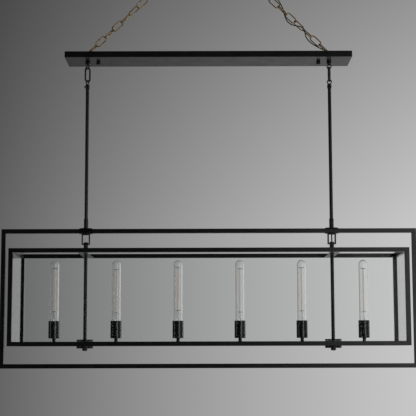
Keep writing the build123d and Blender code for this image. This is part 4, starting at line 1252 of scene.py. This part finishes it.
# ---------------------------------------------------------------- the stage
class PENDANT_OT_stage(bpy.types.Operator):
    """Sets the floor, the soft lamps, the surroundings and the camera."""

    bl_idname = "pendant.stage"
    bl_label = "Studio stage"
    bl_options = {"REGISTER", "UNDO"}

    def camera(self, stage):
        data = bpy.data.cameras.new("Camera")
        data.lens = stage.lens
        data.sensor_width = 36.0
        data.clip_start, data.clip_end = 0.05, 100.0
        obj = bpy.data.objects.new("Camera", data)
        bpy.context.collection.objects.link(obj)
        aim = Matrix.Rotation(stage.yaw, 4, "Z") @ Matrix.Rotation(math.pi / 2 + stage.pitch, 4,
                                                                   "X")
        obj.matrix_world = (
            Matrix.Translation((stage.aside, -stage.distance, stage.height))
            @ aim
            @ Matrix.Rotation(stage.roll, 4, "Z")
        )
        bpy.context.scene.camera = obj

    def lamp(self, name, place, aim, wide, high, power, tint):
        data = bpy.data.lights.new(name, "AREA")
        data.shape = "RECTANGLE"
        data.size, data.size_y = wide, high
        data.energy = power
        data.color = tint
        obj = bpy.data.objects.new(name, data)
        bpy.context.collection.objects.link(obj)
        obj.location = place
        obj.rotation_euler = (Vector(aim) - Vector(place)).to_track_quat("-Z", "Y").to_euler()
        obj.visible_camera = False
        obj.visible_transmission = False

    def grey_ramp(self, ramp, stops):
        (first, dark), (last, light) = stops[0], stops[-1]
        ramp.elements[0].position, ramp.elements[0].color = first, (dark, dark, dark, 1)
        ramp.elements[1].position, ramp.elements[1].color = last, (light, light, light, 1)
        for place, level in stops[1:-1]:
            ramp.elements.new(place).color = (level, level, level, 1)

    def surroundings(self):
        world = bpy.data.worlds.new("Studio")
        bpy.context.scene.world = world
        world.use_nodes = True
        tree = world.node_tree
        background = tree.nodes["Background"]
        link = tree.links.new
        place = node(tree, "ShaderNodeTexCoord", -1200, 0)
        parts = node(tree, "ShaderNodeSeparateXYZ", -1000, 0)
        link(place.outputs["Generated"], parts.inputs[0])

        across = node(tree, "ShaderNodeMapRange", -800, 200)
        give(across, {"From Min": -0.2, "From Max": 0.2})
        link(parts.outputs["X"], across.inputs["Value"])
        side = node(tree, "ShaderNodeValToRGB", -600, 200)
        self.grey_ramp(side.color_ramp, ((0.0, 0.1), (1.0, 0.6)))
        link(across.outputs["Result"], side.inputs["Fac"])

        upward = node(tree, "ShaderNodeMapRange", -800, -100)
        give(upward, {"From Min": 0.1, "From Max": 0.3})
        link(parts.outputs["Z"], upward.inputs["Value"])
        height = node(tree, "ShaderNodeValToRGB", -600, -100)
        self.grey_ramp(height.color_ramp, ((0.0, 1.0), (1.0, 0.5)))
        link(upward.outputs["Result"], height.inputs["Fac"])
        wall = node(tree, "ShaderNodeMix", -280, 100, data_type="RGBA", blend_type="MULTIPLY")
        wall.inputs["Factor"].default_value = 1.0
        link(side.outputs["Color"], wall.inputs["A"])
        link(height.outputs["Color"], wall.inputs["B"])

        ahead = node(tree, "ShaderNodeMapRange", -600, -400, interpolation_type="SMOOTHSTEP")
        give(ahead, {"From Min": 0.80, "From Max": 0.94})
        link(parts.outputs["Y"], ahead.inputs["Value"])
        room = node(tree, "ShaderNodeMix", -60, 0, data_type="RGBA")
        room.inputs["A"].default_value = (0.50, 0.51, 0.54, 1)
        link(ahead.outputs["Result"], room.inputs["Factor"])
        link(wall.outputs["Result"], room.inputs["B"])

        spread = node(tree, "ShaderNodeMapRange", -800, -700)
        give(spread, {"From Min": -1.0, "From Max": 1.0})
        link(parts.outputs["X"], spread.inputs["Value"])
        studio = node(tree, "ShaderNodeValToRGB", -600, -700)
        levels = ((0.0, 0.05), (0.3, 0.03), (0.52, 0.04), (0.62, 0.14), (0.8, 0.40), (1.0, 0.55))
        self.grey_ramp(studio.color_ramp, levels)
        link(spread.outputs["Result"], studio.inputs["Fac"])
        facing = node(tree, "ShaderNodeMapRange", -600, -950, interpolation_type="SMOOTHSTEP")
        give(facing, {"From Min": -1.0, "From Max": 0.3, "To Min": 0.25})
        link(parts.outputs["Y"], facing.inputs["Value"])
        shaded = node(tree, "ShaderNodeMix", -280, -700, data_type="RGBA", blend_type="MULTIPLY")
        shaded.inputs["Factor"].default_value = 1.0
        link(studio.outputs["Color"], shaded.inputs["A"])
        link(facing.outputs["Result"], shaded.inputs["B"])
        behind = node(tree, "ShaderNodeMapRange", -280, -950, interpolation_type="SMOOTHSTEP")
        give(behind, {"From Min": 0.75, "From Max": 0.97})
        link(parts.outputs["Y"], behind.inputs["Value"])
        mirrored = node(tree, "ShaderNodeMix", -60, -700, data_type="RGBA")
        link(behind.outputs["Result"], mirrored.inputs["Factor"])
        link(shaded.outputs["Result"], mirrored.inputs["A"])
        link(wall.outputs["Result"], mirrored.inputs["B"])
        rays = node(tree, "ShaderNodeLightPath", -60, 400)
        only = node(tree, "ShaderNodeMath", 160, 400, operation="SUBTRACT", use_clamp=True)
        link(rays.outputs["Is Glossy Ray"], only.inputs[0])
        link(rays.outputs["Is Transmission Ray"], only.inputs[1])
        seen = node(tree, "ShaderNodeMix", 160, 0, data_type="RGBA")
        link(only.outputs[0], seen.inputs["Factor"])
        link(room.outputs["Result"], seen.inputs["A"])
        link(mirrored.outputs["Result"], seen.inputs["B"])
        link(seen.outputs["Result"], background.inputs["Color"])
        background.location = (400, 0)
        tree.nodes["World Output"].location = (640, 0)
        background.inputs["Strength"].default_value = 1.0

    def execute(self, context):
        stage = context.scene.pendant_stage
        self.camera(stage)
        self.surroundings()
        half = stage.floor_size / 2
        floor = soft_box("floor", (-half, -half, stage.floor_height - 0.02),
                         (half, half, stage.floor_height), 0.005)
        base = colours().floor
        painted(floor, finish_of("Pale Floor", base, tone(base, 0.97), (0.55, 0.65), mottle=0.6))
        self.lamp("Key", (1.9, -3.6, -1.2), (0.1, 0, -1.3), 2.0, 2.4, 32, (1.0, 0.985, 0.96))
        self.lamp("Rim", (2.9, 1.7, -0.9), (0.1, 0, -1.2), 0.5, 2.6, 12, (1.0, 1.0, 1.0))
        self.lamp("Strip", (-3.4, -1.0, -0.9), (0, 0, -1.2), 0.3, 2.6, 9, (0.94, 0.97, 1.0))
        self.lamp("Top", (0.4, 0.6, 1.8), (0, 0, -1.2), 2.4, 1.6, 14, (1.0, 1.0, 1.0))
        context.scene.view_settings.view_transform = "Standard"
        return {"FINISHED"}


class PENDANT_PT_panel(bpy.types.Panel):
    """Lists the stage and the pieces, with their sizes and colours."""

    bl_idname = "PENDANT_PT_panel"
    bl_label = "Linear island pendant"
    bl_space_type = "VIEW_3D"
    bl_region_type = "UI"
    bl_category = "Pendant"

    def draw(self, context):
        layout = self.layout
        for operator in OPERATORS:
            layout.operator(operator.bl_idname)
        for group in (
            context.scene.pendant_sizes,
            context.scene.pendant_colours,
            context.scene.pendant_stage,
        ):
            box = layout.box()
            for name in group.bl_rna.properties.keys():
                if name not in ("rna_type", "name"):
                    box.prop(group, name)


OPERATORS = (
    PENDANT_OT_stage,
    PENDANT_OT_cord,
    PENDANT_OT_wiring,
    PENDANT_OT_chain,
    PENDANT_OT_canopy,
    PENDANT_OT_swivels,
    PENDANT_OT_stems,
    PENDANT_OT_outer_frame,
    PENDANT_OT_hangers,
    PENDANT_OT_cage,
    PENDANT_OT_panes,
    PENDANT_OT_sockets,
    PENDANT_OT_bulbs,
)
CLASSES = (PendantSizes, PendantColours, PendantStage, *OPERATORS, PENDANT_PT_panel)


def register():
    for cls in CLASSES:
        bpy.utils.register_class(cls)
    bpy.types.Scene.pendant_sizes = PointerProperty(type=PendantSizes)
    bpy.types.Scene.pendant_colours = PointerProperty(type=PendantColours)
    bpy.types.Scene.pendant_stage = PointerProperty(type=PendantStage)


def unregister():
    del bpy.types.Scene.pendant_stage
    del bpy.types.Scene.pendant_colours
    del bpy.types.Scene.pendant_sizes
    for cls in reversed(CLASSES):
        bpy.utils.unregister_class(cls)


def main():
    register()
    for operator in OPERATORS:
        group, name = operator.bl_idname.split(".")
        getattr(getattr(bpy.ops, group), name)()
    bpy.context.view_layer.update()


if __name__ == "__main__":
    main()
